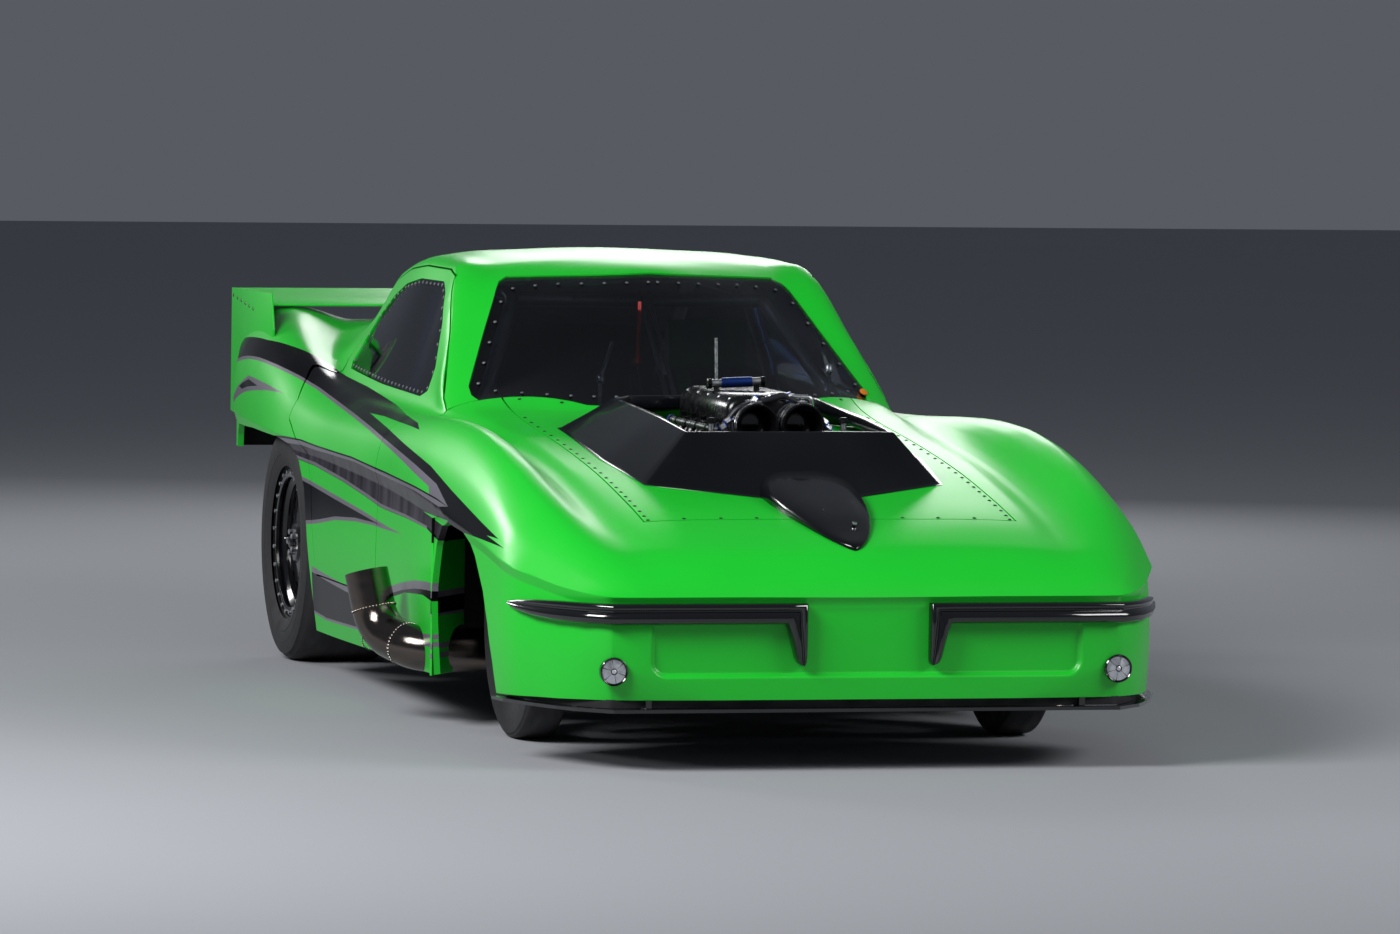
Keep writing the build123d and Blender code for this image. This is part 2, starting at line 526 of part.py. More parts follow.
def tyre(size):
    """A tyre about the X axis at the origin, with a flat tread and cut shoulders."""
    radius, half, bead = size["radius"], size["width"] / 2, size["bead"]
    tread = half * TREAD_SHARE
    drop = (half - tread) * 1.2
    right = [(tread, radius), (half - 2, radius - drop), (half, radius - 2.2 * drop),
             (half * 0.93, bead + 14), (half * SEAT_SHARE, bead)]
    return ring_about_x(right + [(-x, r) for x, r in reversed(right)])


def rim(size, face, bore):
    """A wheel about the X axis at the origin: barrel, pierced disc and hub."""
    bead = size["bead"] - FIT
    half = size["width"] / 2 * SEAT_SHARE
    edge = [(half, bead), (half + 6, bead + 3), (half + 6, bead - 14), (half - 20, bead - 24)]
    barrel = ring_about_x(edge + [(-x, r) for x, r in reversed(edge)])
    at = face["offset"]
    disc = ring_about_x([(at - 7, bore), (at + 7, bore), (at + 7, bead - 20),
                         (at - 7, bead - 20)])
    hole = Pos(at, 0, face["ring"]) * Rot(0, 90, 0) * Cylinder(face["hole"], 60)
    for i in range(face["windows"]):
        disc = disc - Rot(360 / face["windows"] * i, 0, 0) * hole
    hub = ring_about_x([(at - face["depth"], bore), (at + 24, bore), (at + 24, face["hub"] - 8),
                        (at + 7, face["hub"]), (at - face["depth"], face["hub"])])
    return barrel + disc + hub


for end, size, y, shaft in (("front", FRONT_TYRE, 0, SPINDLE["radius"]),
                            ("rear", REAR_TYRE, WHEELBASE, STUB["radius"])):
    there = Pos(size["x"], y, size["radius"])
    save_sides(f"tyre_{end}", there * tyre(size))
    save_sides(f"rim_{end}", there * rim(size, RIMS[end], shaft + FIT))

# Front suspension: the upright with its strut and spindle turns with the steering
BALL_Z = FRONT_Z - 75
upright = block_of(KING_X - 20, KING_X + 20, -35, 35, BALL_Z, FRONT_Z + 75)
upright = upright + tube((KING_X, 0, FRONT_Z), (SPINDLE["reach"], 0, FRONT_Z), SPINDLE["radius"])
upright = upright + tube((KING_X, 0, FRONT_Z + 60), (KING_X, 0, STRUT_TOP), 26)
upright = upright + block_of(KING_X, KING_X + 40, 65, 125, FRONT_Z - 40, FRONT_Z + 80)
upright = upright + block_of(KING_X - 10, KING_X + 18, 5, 85, FRONT_Z - 10, FRONT_Z + 50)
upright = upright + block_of(KING_X - 12, KING_X + 12, -125, -25, FRONT_Z - 40, FRONT_Z - 20)
save_sides("upright", upright)
arm = tube((KING_X, 0, BALL_Z - 44), (KING_X, 0, BALL_Z - FIT), 22)
for y in (-120, 140):
    arm = arm + tube((RAIL["nose_x"], y, RAIL["nose_z"]), (KING_X - 10, 0, BALL_Z - 24), 14)
save("front_arms", pair(arm - chassis))
rack = tube((-300, -230, 285), (300, -230, 285), 24) + tube((-480, -230, 285), (480, -230, 285), 10)
ear = block_of(255, 285, -320, -225, 245, 275)
save("steering_rack", (rack + ear + other_side(ear)) - chassis)

# Rear suspension: two links and a coil shock on each side, with a cross bar at the top
LINK_X = 330
link = block_of(LINK_X - 8, LINK_X + 8, WHEELBASE - 70, WHEELBASE + 5, 225, 465)
link = link + block_of(LINK_X - 8, LINK_X + 8, 1995, 2060, 190, 435)
for front_z, rear_z in ((250, 262), (400, 430)):
    link = link + tube((LINK_X, 2040, front_z), (LINK_X, WHEELBASE - 40, rear_z), 14)
shock = tube((SHOCK["x"], SHOCK["y"], SHOCK["low"]), (SHOCK["x"], SHOCK["y"], SHOCK["high"]), 28)
shock = shock + block_of(SHOCK["x"] - 12, SHOCK["x"] + 12, WHEELBASE, SHOCK["y"], 290, 350)
save("rear_suspension", pair(link + shock - chassis - axle))

# Wheelie bar behind the rear axle, its two small wheels on one axle
BAR_HALF = 45          # half the distance of the bars at their rear end
bars = tube((100, WHEELBASE + 140, 300), (BAR_HALF, WHEELIE_Y, WHEELIE_Z), 14)
bars = bars + tube((100, WHEELBASE + 110, 460), (BAR_HALF, WHEELIE_Y - 130, WHEELIE_Z + 18), 12)
bars = bars + block_of(80, 120, WHEELBASE + 100, WHEELBASE + 165, 285, 475)
wheelie = bars + other_side(bars)
for t in (0, 0.35, 0.7):
    y, z = WHEELBASE + 140 + 1300 * t, 300 - 188 * t
    wheelie = wheelie + tube((-100 + 55 * t, y, z), (100 - 55 * t, y, z), 9)
small_reach = WHEELIE_TYRE["x"] + WHEELIE_TYRE["width"] / 2 + 10
wheelie = wheelie + tube((-small_reach, WHEELIE_Y, WHEELIE_Z), (small_reach, WHEELIE_Y, WHEELIE_Z),
                         WHEELIE_TYRE["bore"])
save("wheelie_bar", wheelie - axle)
half = WHEELIE_TYRE["width"] / 2
small = ring_about_x([(-half, 8.3), (half, 8.3), (half, 50), (half - 6, 62), (6 - half, 62),
                      (-half, 50)])
save("wheelie_wheels", pair(Pos(WHEELIE_TYRE["x"], WHEELIE_Y, WHEELIE_Z) * small))

# Parachute packs on their tray
PACK = dict(x=170, width=250, depth=270, height=210, round=40)
TRAY_TOP = TRAY["z"] + TRAY["thick"] / 2
pack = block_of(PACK["x"] - PACK["width"] / 2, PACK["x"] + PACK["width"] / 2,
                TRAY["rear"] - PACK["depth"], TRAY["rear"] - 5, TRAY_TOP, TRAY_TOP + PACK["height"])
pack = fillet(pack.edges().group_by(Axis.Z)[-1], PACK["round"])
save("parachute_packs", pair(pack))

# Rear spoiler: one blade between two end plates
PLATE = dict(x=800, front=2960, rear=3610, top=1088, thick=6)
plate = prism_x([(PLATE["front"], 985), (PLATE["front"] + 40, PLATE["top"] + 8),
                 (PLATE["rear"], PLATE["top"]), (PLATE["rear"], 700), (TAIL_Y + 20, 690),
                 (3200, 720), (3000, 800)], PLATE["x"], PLATE["x"] + PLATE["thick"]) - body_shell
plate = plate.solids().sort_by(SortBy.VOLUME)[-1]
wing = prism_x([(3230, 1046), (PLATE["rear"], 1082), (PLATE["rear"], 1088), (3230, 1052)],
               -PLATE["x"], PLATE["x"]) - outer
save("rear_spoiler", wing + plate + other_side(plate))
lamps = [tube((x, TAIL_Y, 800), (x, TAIL_Y + 16, 800), 55) for x in (-620, -440, 440, 620)]
save("tail_lamps", Compound(children=lamps))

# Cabin: floor with its firewall, seat, dash and steering wheel
floor_low, floor_top = FLOOR["z"] - FLOOR["thick"] / 2, FLOOR["z"] + FLOOR["thick"] / 2
FIREWALL = [(0, floor_low), (620, floor_low), (640, 700), (480, 800), (0, 800)]
pan = block_of(-FLOOR["half_width"], FLOOR["half_width"], FIREWALL_Y, FLOOR["rear"],
               FLOOR["z"], floor_top)
pan = pan + block_of(-FLOOR["flat_half"], FLOOR["flat_half"], FIREWALL_Y, FLOOR["rear"],
                     floor_low, FLOOR["z"])
floor = inner & pan
firewall = prism_y(full_ring(FIREWALL), FIREWALL_Y, FIREWALL_Y + PLATE_THICK)
firewall = firewall - tube((0, FIREWALL_Y - 9, AXLE_Z), (0, FIREWALL_Y + 20, AXLE_Z),
                           GEARBOX["radius"] + FIT)
save("cabin_floor", (floor + firewall) - chassis - cage)
SEAT_X = 300
SEAT = [(1480, floor_top), (1960, floor_top), (1985, 900), (1925, 905), (1880, 420),
        (1500, 340), (1470, 300)]
seat = prism_x(SEAT, SEAT_X - 200, SEAT_X + 200)
for x in (SEAT_X - 225, SEAT_X + 200):
    seat = seat + prism_x([(1480, floor_top), (1960, floor_top), (1985, 820), (1820, 800),
                           (1780, 480), (1500, 420)], x, x + 25)
save("seat", seat - cage - chassis)
DASH = [(1130, 640), (1230, 640), (1260, 720), (1230, 775), (1130, 775)]
dash = prism_x(DASH, -560, 560) - cage
save("dash_panel", dash)
WHEEL = dict(y=1440, z=700, radius=140, grip=13)
column = tube((SEAT_X, 1225, 660), (SEAT_X, WHEEL["y"] + 10, WHEEL["z"] + 2), 16)
wheel = Torus(WHEEL["radius"], WHEEL["grip"]) + Box(2 * WHEEL["radius"], 30, 10)
wheel = Pos(SEAT_X, WHEEL["y"], WHEEL["z"]) * Rot(-79, 0, 0) * wheel
save("steering_wheel", (column + wheel) - dash)
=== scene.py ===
# Drag racing car: the looks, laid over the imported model.
# Lengths are millimetres with y = 0 at the front axle, as in the part's source,
# and turn into metres in the model's frame when a mesh is made.
import math

import bmesh
import bpy
import numpy as np
from mathutils import Matrix, Vector
from mathutils.bvhtree import BVHTree


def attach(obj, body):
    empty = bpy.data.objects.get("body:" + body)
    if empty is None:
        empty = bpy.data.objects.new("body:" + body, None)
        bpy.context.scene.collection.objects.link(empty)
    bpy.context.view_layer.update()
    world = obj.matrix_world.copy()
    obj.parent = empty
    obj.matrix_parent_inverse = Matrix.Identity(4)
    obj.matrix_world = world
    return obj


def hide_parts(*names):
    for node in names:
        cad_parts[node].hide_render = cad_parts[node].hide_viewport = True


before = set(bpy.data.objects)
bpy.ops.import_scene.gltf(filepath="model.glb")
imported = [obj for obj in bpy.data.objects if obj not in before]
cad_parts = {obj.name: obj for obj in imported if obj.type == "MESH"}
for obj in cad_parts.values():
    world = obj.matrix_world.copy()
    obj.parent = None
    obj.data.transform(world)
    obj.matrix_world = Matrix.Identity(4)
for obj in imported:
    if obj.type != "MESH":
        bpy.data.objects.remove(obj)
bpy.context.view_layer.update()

WHEELBASE = 2540
NOSE_Y = -1005
TAIL_Y = 3450
TAIL_FOOT = 600        # the tail is open below this height
ORIGIN_Y = 1505.5
WALL = 18

# Camera, as fitted to the photograph
CAMERA_PLACE = (-6104, -22598, 2189)
YAW, PITCH, ROLL = (math.radians(a) for a in (14.62, 3.53, 0.89))
ahead = Vector((math.sin(YAW) * math.cos(PITCH), math.cos(YAW) * math.cos(PITCH),
                -math.sin(PITCH)))
level = Vector((math.cos(YAW), -math.sin(YAW), 0))
upward = level.cross(ahead)
right = math.cos(ROLL) * level + math.sin(ROLL) * upward
top = -math.sin(ROLL) * level + math.cos(ROLL) * upward
camera = bpy.data.cameras.new("camera")
camera.lens = 217.24
camera.sensor_width = 36
camera.clip_end = 200
viewer = bpy.data.objects.new("camera", camera)
bpy.context.scene.collection.objects.link(viewer)
x, y, z = CAMERA_PLACE
viewer.matrix_world = (Matrix.Translation((x / 1000, (y - ORIGIN_Y) / 1000, z / 1000))
                       @ Matrix((right, top, -ahead)).transposed().to_4x4())
bpy.context.scene.camera = viewer

# Body lines, each a list of (y, x, z) from the nose to the tail
LINES = {
    "centre": [
        (-1005, 0, 464), (-975, 0, 503), (-930, 0, 540), (-856, 0, 582), (-774, 0, 608),
        (-652, 0, 637), (-400, 0, 684), (0, 0, 745), (475, 0, 800), (800, 0, 838),
        (925, 0, 862), (1148, 0, 1022), (1450, 0, 1237), (1530, 0, 1254), (1660, 0, 1268),
        (1950, 0, 1280), (2400, 0, 1262), (2700, 0, 1205), (3000, 0, 1110), (3250, 0, 1030),
        (3450, 0, 1005)],
    "middle": [
        (-1005, 200, 465), (-975, 210, 503), (-930, 220, 540), (-856, 230, 581),
        (-774, 235, 607), (-652, 240, 637), (-400, 245, 684), (0, 250, 745), (475, 260, 800),
        (800, 270, 836), (925, 290, 855), (1148, 305, 985), (1450, 245, 1205),
        (1530, 225, 1238), (1660, 225, 1262), (1950, 225, 1274), (2400, 215, 1253),
        (2700, 190, 1190), (3000, 155, 1095), (3250, 120, 1025), (3450, 110, 1005)],
    "screen edge": [
        (-1005, 350, 466), (-975, 365, 502), (-930, 385, 539), (-856, 405, 579),
        (-774, 415, 604), (-652, 425, 635), (-400, 435, 683), (0, 445, 745), (475, 460, 800),
        (800, 490, 832), (925, 530, 846), (1148, 612, 869), (1340, 518, 1038),
        (1530, 423, 1204), (1660, 420, 1246), (1950, 425, 1262), (2400, 405, 1235),
        (2700, 360, 1165), (3000, 290, 1070), (3250, 225, 1015), (3450, 205, 1003)],
    "pillar": [
        (-1005, 450, 466), (-975, 475, 501), (-930, 500, 537), (-856, 520, 575),
        (-774, 530, 599), (-652, 545, 629), (-400, 560, 679), (0, 565, 744), (475, 575, 797),
        (800, 600, 822), (925, 625, 832), (1148, 662, 842), (1200, 664, 868),
        (1400, 600, 1055), (1580, 550, 1205), (1660, 533, 1236), (1950, 540, 1234),
        (2400, 520, 1186), (2700, 475, 1115), (3000, 395, 1035), (3250, 330, 1008),
        (3450, 300, 1001)],
    "belt": [
        (-1005, 520, 466), (-975, 550, 500), (-930, 575, 534), (-856, 600, 569),
        (-774, 615, 592), (-652, 630, 620), (-560, 640, 640), (-400, 647, 670), (-200, 652, 704),
        (0, 655, 734), (250, 657, 764), (475, 660, 785), (800, 668, 806), (1148, 682, 824),
        (1500, 690, 834), (1950, 695, 846), (2400, 688, 866), (2700, 655, 908),
        (3000, 590, 962), (3250, 510, 995), (3450, 470, 998)],
    "crown": [
        (-1005, 600, 466), (-975, 640, 497), (-930, 675, 528), (-856, 712, 565),
        (-774, 738, 598), (-652, 762, 646), (-560, 776, 682), (-400, 786, 735), (-200, 790, 787),
        (0, 790, 822), (250, 790, 846), (475, 790, 851), (800, 784, 842), (1148, 770, 824),
        (1500, 765, 815), (1950, 765, 815), (2200, 766, 829), (2400, 766, 856),
        (2700, 760, 932), (3000, 745, 1002), (3250, 730, 1036), (3450, 722, 1040)],
    "shoulder": [
        (-1005, 655, 466), (-975, 697, 485), (-930, 734, 506), (-856, 775, 534),
        (-774, 809, 560), (-652, 850, 598), (-560, 866, 626), (-400, 876, 668), (-200, 881, 706),
        (0, 882, 734), (250, 882, 756), (475, 880, 768), (800, 870, 768), (1148, 852, 762),
        (1500, 842, 757), (1950, 840, 757), (2400, 852, 790), (2700, 858, 852),
        (3000, 848, 905), (3250, 825, 930), (3450, 800, 938)],
    "crease": [
        (-1005, 700, 466), (-975, 736, 470), (-930, 772, 476), (-856, 816, 487),
        (-774, 852, 502), (-652, 898, 522), (-560, 910, 537), (-400, 913, 562), (0, 913, 600),
        (400, 906, 636), (1148, 876, 664), (1950, 870, 684), (2540, 893, 696), (3000, 880, 706),
        (3250, 858, 712), (3450, 830, 716)],
    "undercut": [
        (-1005, 696, 440), (-975, 730, 442), (-930, 764, 447), (-856, 807, 458),
        (-774, 842, 472), (-652, 887, 492), (-560, 899, 506), (-400, 902, 530), (0, 902, 566),
        (400, 895, 600), (1148, 865, 628), (1950, 859, 648), (2540, 882, 660), (3000, 869, 668),
        (3250, 847, 672), (3450, 818, 676)],
    "side": [
        (-1005, 700, 320), (-930, 770, 320), (-856, 814, 320), (-774, 850, 320),
        (-652, 895, 320), (-560, 908, 320), (-400, 912, 330), (400, 904, 350), (1148, 872, 370),
        (1950, 868, 390), (2540, 886, 400), (3000, 868, 400), (3450, 815, 400)],
    "sill": [
        (-1005, 697, 192), (-930, 766, 190), (-856, 809, 187), (-774, 844, 184),
        (-652, 888, 178), (-560, 901, 174), (-400, 905, 168), (400, 892, 150), (1148, 858, 139),
        (1950, 853, 130), (2540, 868, 130), (3450, 800, 130)],
}
# Where a line turns sharply along the car
BREAKS = {"centre": (925,), "middle": (925,), "screen edge": (1148,), "pillar": (1148,)}
# How round the section is at each line: the reach of its curve, 0 for a sharp edge
ROUND = {"centre": 400, "middle": 400, "screen edge": 60, "pillar": 45, "belt": 45,
         "crown": 200, "shoulder": 200, "crease": 0, "undercut": 0, "side": 200, "sill": 0}
STEPS = (8, 6, 5, 10, 5, 7, 7, 5, 12, 6)

ARCH_FRONT = [(-525, 60), (-522, 172), (-492, 256), (-442, 352), (-372, 434), (-250, 522),
              (-130, 578), (60, 590), (170, 575), (225, 520), (262, 400), (270, 60)]
ARCH_REAR = [(2015, 60), (2060, 215), (2120, 430), (2165, 545), (2240, 625), (2340, 668),
             (2480, 684), (2900, 686), (3300, 676), (3345, 640), (3370, 600),
             (3650, 600), (3650, 60)]
ARCH_CUT, ARCH_REACH = 500, 530    # arches are cut, and opened, only further out than these
DOOR = [(1152, 300), (1152, 838), (1205, 870), (1400, 1050), (1590, 1212),
        (1668, 1226), (1950, 1226), (2200, 1206), (2400, 1168), (2530, 1105), (2600, 1010),
        (2600, 915), (2500, 865), (2400, 800), (2385, 745), (2150, 655), (2085, 560),
        (2048, 430), (2000, 300)]
DOOR_REACH = 360
SIDE_WINDOW = [(1425, 880), (1420, 950), (1500, 1075), (1600, 1160), (1680, 1190),
               (1950, 1188), (2150, 1164), (2300, 1122), (2440, 1050), (2510, 975),
               (2515, 915), (2460, 892), (1950, 872), (1480, 862)]
SCREEN = [(-9, 862), (552, 862), (580, 868), (594, 884), (594, 908), (446, 1178), (432, 1198),
          (404, 1213), (-9, 1230)]
SCREEN_RANGE = (880, 1650)
REAR_PANE = [(38, 2290), (38, 2850), (150, 2830), (232, 2760), (262, 2600), (262, 2400),
             (225, 2290)]
CLIP_EDGE = [(0, 905), (300, 948), (595, 1118), (668, 1150), (1200, 1150)]
PAST_MIDDLE = -60      # cuts across the car's middle begin here
HOOD_FRONT, HOOD_BACK, HOOD_HALF = -612, 1200, 522
ENGINE_FRONT, ENGINE_REAR, ENGINE_HALF = -168, 690, 284
OPENING = [(PAST_MIDDLE, ENGINE_FRONT), (ENGINE_HALF, ENGINE_FRONT),
           (ENGINE_HALF, ENGINE_REAR), (PAST_MIDDLE, ENGINE_REAR)]
HOOD_ABOVE, ROOF_ABOVE = 560, 900  # hood and rear window are cut only above these heights
SCREEN_BACK = 1700     # the windshield is cut only in front of here
PAINT_REACH = 560      # the graphics are painted only this far out
SEAM = 2.5             # half the width of a seam between two panels

# Stripes and blocks of colour on each side, painted in this order. A point is
# (y, s), where s = 0.8 z - 0.6 x, the height seen slanting down on the shoulder.
GREEN_PAINT, BLACK_PAINT, GREY_PAINT, SMOKE_PAINT = range(4)
# Edges that two areas share: of the upper band, of the smoke, and of the rocker's wave
BAND_EDGE = [(3450, 268), (2987, 272), (2801, 284), (2620, 297), (2434, 284), (2115, 270),
             (1896, 256), (1655, 239), (1225, 196), (833, 163), (718, 140), (1073, 157),
             (1446, 173), (1641, 171), (1212, 131), (794, 89), (349, 47), (62, 5),
             (-316, -46), (-505, -70), (-400, -73), (-570, -86), (-435, -87), (-260, -86),
             (-27, -82), (153, -75)]
SMOKE_TOP = [(175, -44), (507, -22), (1016, -1), (1452, 14), (1868, 17), (2184, 16), (2520, 1)]
SMOKE_FOOT = [(370, -91), (711, -75), (1102, -63), (1305, -49), (1654, -28), (2051, -11),
              (2520, -12)]
WAVE_FOOT = [(60, -262), (200, -262), (382, -250), (675, -256), (900, -272), (1130, -310)]
GRAPHICS = [
    (GREY_PAINT, BAND_EDGE + [
        (300, -40), (330, -4), (542, 19), (820, 51), (1105, 80), (1422, 111), (1761, 141),
        (2141, 172), (2357, 190), (2526, 197), (2699, 198), (2955, 200), (3450, 196)]),
    (BLACK_PAINT, BAND_EDGE + [
        (61, -38), (240, 8), (542, 40), (820, 66), (1105, 92), (1422, 122), (1761, 152),
        (2141, 183), (2357, 200), (2526, 207), (2699, 208), (2955, 210), (3450, 206)]),
    (BLACK_PAINT, [(2520, 14), (2184, 28), (1965, 27), (1506, 25), (1006, 10), (512, -11),
                   (204, -26), (61, -38), (60, -130), (172, -122), (370, -97), (711, -83),
                   (1102, -72), (1305, -58), (1654, -37), (2051, -20), (2520, -20)]),
    (GREY_PAINT, [(2520, 10), (2184, 24), (1965, 23), (1506, 21), (1006, 6), (512, -15),
                  (204, -30), (70, -38)] + SMOKE_TOP),
    (SMOKE_PAINT, SMOKE_TOP[::-1] + [(90, -60), (90, -110), (172, -116)] + SMOKE_FOOT),
    (GREY_PAINT, SMOKE_FOOT[::-1] + [(370, -97), (711, -82), (1102, -71), (1305, -57),
                                     (1654, -36), (2051, -19), (2520, -18)]),
    (GREEN_PAINT, [(439, -59), (57, -69), (157, -80)]),
    (GREY_PAINT, [(2520, -53), (2301, -55), (2087, -60), (1753, -74), (1349, -92), (996, -112),
                  (735, -123), (930, -121), (1202, -119), (1455, -123), (1736, -135),
                  (2125, -170), (2300, -190)]),
    (BLACK_PAINT, [(2520, -62), (2301, -64), (2087, -70), (1753, -85), (1349, -102), (1080, -114),
                   (1202, -112), (1455, -114), (1736, -126), (2125, -160), (2300, -178)]),
    (GREY_PAINT, [(2060, -262), (1847, -271), (1563, -280), (1250, -273), (950, -250), (729, -235),
                  (499, -222), (331, -217), (60, -214)] + WAVE_FOOT + [
                      (1304, -369), (1877, -376), (2060, -370)]),
    (BLACK_PAINT, [(2060, -276), (1847, -285), (1563, -294), (1250, -288), (950, -266),
                   (729, -252), (499, -241), (331, -236), (60, -232)] + WAVE_FOOT + [
                       (1304, -363), (1877, -370), (2060, -364)]),
    (GREY_PAINT, [(400, -335), (60, -322), (60, -333), (400, -346)]),
    (GREY_PAINT, [(400, -350), (60, -340), (60, -351), (400, -361)]),
    (GREY_PAINT, [(3450, 107), (3400, 112), (3024, 152), (2537, 134), (2780, 120), (3060, 107),
                  (3362, 91), (3450, 88)]),
    (BLACK_PAINT, [(3240, 124), (3020, 142), (2860, 129), (3150, 115)]),
]
PLATE_GRAPHICS = [
    (BLACK_PAINT, [(2900, 897), (3610, 880), (3610, 838), (2900, 862)]),
    (GREY_PAINT, [(3440, 756), (3610, 744), (3610, 730), (3440, 738)]),
]
WALL_STRIPES = [(BLACK_PAINT, 520, 590), (GREY_PAINT, 366, 384), (BLACK_PAINT, 322, 366),
                (GREY_PAINT, 314, 322), (GREY_PAINT, 222, 238), (GREY_PAINT, 196, 212)]


def monotone(ys, vs, at):
    """A smooth curve through points that never swings past them."""
    h = np.diff(ys)
    slope = np.diff(vs) / h
    m = np.zeros(len(ys))
    m[0], m[-1] = slope[0], slope[-1]
    for i in range(1, len(ys) - 1):
        if slope[i - 1] * slope[i] > 0:
            w1, w2 = 2 * h[i] + h[i - 1], h[i] + 2 * h[i - 1]
            m[i] = (w1 + w2) / (w1 / slope[i - 1] + w2 / slope[i])
    k = np.clip(np.searchsorted(ys, at, side="right") - 1, 0, len(ys) - 2)
    t = (at - ys[k]) / h[k]
    return ((1 + 2 * t) * (1 - t) ** 2 * vs[k] + t * (1 - t) ** 2 * h[k] * m[k]
            + t ** 2 * (3 - 2 * t) * vs[k + 1] + t ** 2 * (t - 1) * h[k] * m[k + 1])


def smoothly(table, at):
    """The values at the places at of a table of (place, value)."""
    rows = np.array(table, float)
    at = np.clip(np.asarray(at, float), rows[0, 0], rows[-1, 0])
    return monotone(rows[:, 0], rows[:, 1], at)


def body_line(name, at):
    """Points (x, z) of a body line at the stations at."""
    rows = np.array(LINES[name], float)
    out = np.zeros((len(at), 2))
    stops = [rows[0, 0], *BREAKS.get(name, ()), rows[-1, 0]]
    for low, high in zip(stops, stops[1:]):
        part = rows[(rows[:, 0] >= low) & (rows[:, 0] <= high)]
        inside = (at >= low) & (at <= high)
        for axis in (0, 1):
            out[inside, axis] = monotone(part[:, 0], part[:, axis + 1], at[inside])
    return out


def unit(v):
    """Vectors brought to a length of 1."""
    return v / np.maximum(np.linalg.norm(v, axis=-1, keepdims=True), 1e-9)


def body_grid(places, inset=0):
    """The left half of the body skin as rows of (x, y, z), moved in by inset."""
    names = list(LINES)
    at = np.array(places, float)
    p = np.stack([body_line(name, at) for name in names], 1)
    chord = p[:, 1:] - p[:, :-1]
    length = np.linalg.norm(chord, axis=-1)
    way = unit(chord)
    columns = []
    for i, steps in enumerate(STEPS):
        start, end = way[:, i], way[:, i]
        if i == 0:
            start = np.tile([1.0, 0.0], (len(at), 1))
        elif ROUND[names[i]]:
            start = unit(way[:, i - 1] + way[:, i])
        if i + 1 < len(STEPS) and ROUND[names[i + 1]]:
            end = unit(way[:, i] + way[:, i + 1])
        reach = length[:, i] / 3
        a = np.minimum(reach, ROUND[names[i]])[:, None]
        b = np.minimum(reach, ROUND[names[i + 1]])[:, None]
        points = [p[:, i], p[:, i] + start * a, p[:, i + 1] - end * b, p[:, i + 1]]
        for step in range(steps if i + 1 < len(STEPS) else steps + 1):
            t = step / steps
            weights = ((1 - t) ** 3, 3 * t * (1 - t) ** 2, 3 * t * t * (1 - t), t ** 3)
            columns.append(sum(w * q for w, q in zip(weights, points)))
    xz = np.stack(columns, 1)
    if inset:
        along = np.gradient(xz, axis=1)
        normal = unit(np.stack([along[..., 1], -along[..., 0]], -1))
        xz = xz + normal * inset
        xz[:, 0, 0] = 0
    y = np.repeat(at[:, None], xz.shape[1], 1)
    return np.stack([xz[..., 0], y, xz[..., 1]], -1)


NOSE_ROWS = (-1005, -1001, -995, -988, -975, -960, -945, -930, -905, -880, -856)
EVEN_ROWS_FROM = -836


def stations(low, high, step):
    """Rows from low to high, closer where the nose turns."""
    fine = [y for y in NOSE_ROWS if low <= y <= high]
    rest = list(np.arange(max(low, EVEN_ROWS_FROM), high, step)) + [high]
    return sorted(set(fine + rest))


# Materials
def srgb(color, dim=1.0):
    """A colour written as it looks on the screen, 0 to 255, dimmed by dim."""
    return (*[dim * (v / 255 / 12.92 if v <= 10 else ((v / 255 + 0.055) / 1.055) ** 2.4)
              for v in color], 1)


class Nodes:
    """A node material, and the steps that build it up."""

    def __init__(self, name):
        self.material = bpy.data.materials.new(name)
        self.material.use_nodes = True
        self.tree = self.material.node_tree
        self.where = self.node("ShaderNodeTexCoord").outputs["Object"]

    def put(self, socket, value):
        """Link a socket to another one, or give it a value."""
        if isinstance(value, bpy.types.NodeSocket):
            self.tree.links.new(value, socket)
        else:
            socket.default_value = value

    def node(self, kind, **settings):
        """Add a node, with values for its sockets and its other settings."""
        made = self.tree.nodes.new(kind)
        for key, value in settings.items():
            if key in made.inputs:
                self.put(made.inputs[key], value)
            else:
                setattr(made, key, value)
        return made

    def noise(self, where, scale, detail):
        return self.node("ShaderNodeTexNoise", Vector=where, Scale=scale,
                         Detail=detail).outputs["Fac"]

    def spread(self, source, low, high, start=0.3, end=0.7):
        """The source's values between start and end, laid over low to high."""
        made = self.node("ShaderNodeMapRange", Value=source)
        for key, value in zip(("From Min", "From Max", "To Min", "To Max"),
                              (start, end, low, high)):
            made.inputs[key].default_value = value
        return made.outputs["Result"]

    def product(self, first, other):
        made = self.node("ShaderNodeMath", operation="MULTIPLY")
        self.put(made.inputs[0], first)
        self.put(made.inputs[1], other)
        return made.outputs["Value"]

    def mixed(self, factor, first, other, kind="MIX"):
        """Two colours mixed by a factor."""
        made = self.node("ShaderNodeMix", data_type="RGBA", blend_type=kind)
        for number, value in ((0, factor), (6, first), (7, other)):
            self.put(made.inputs[number], value)
        return made.outputs[2]

    def shade(self, relief=None, strength=0.0, **values):
        """Fill the shader's sockets and lay a fine relief over it."""
        shader = self.tree.nodes["Principled BSDF"]
        if relief:
            bump = self.node("ShaderNodeBump", Strength=strength, Distance=0.001, Height=relief)
            self.put(shader.inputs["Normal"], bump.outputs["Normal"])
        for key, value in values.items():
            self.put(shader.inputs[key.replace("_", " ")], value)
        return self.material


# The dark grey-brown that a finish turns towards near the ground
LOW_TONE = (0.045, 0.043, 0.04, 1)
LOW_TONE_FROM, LOW_TONE_TO = 0.12, 0.45    # heights in metres between which the darkening fades
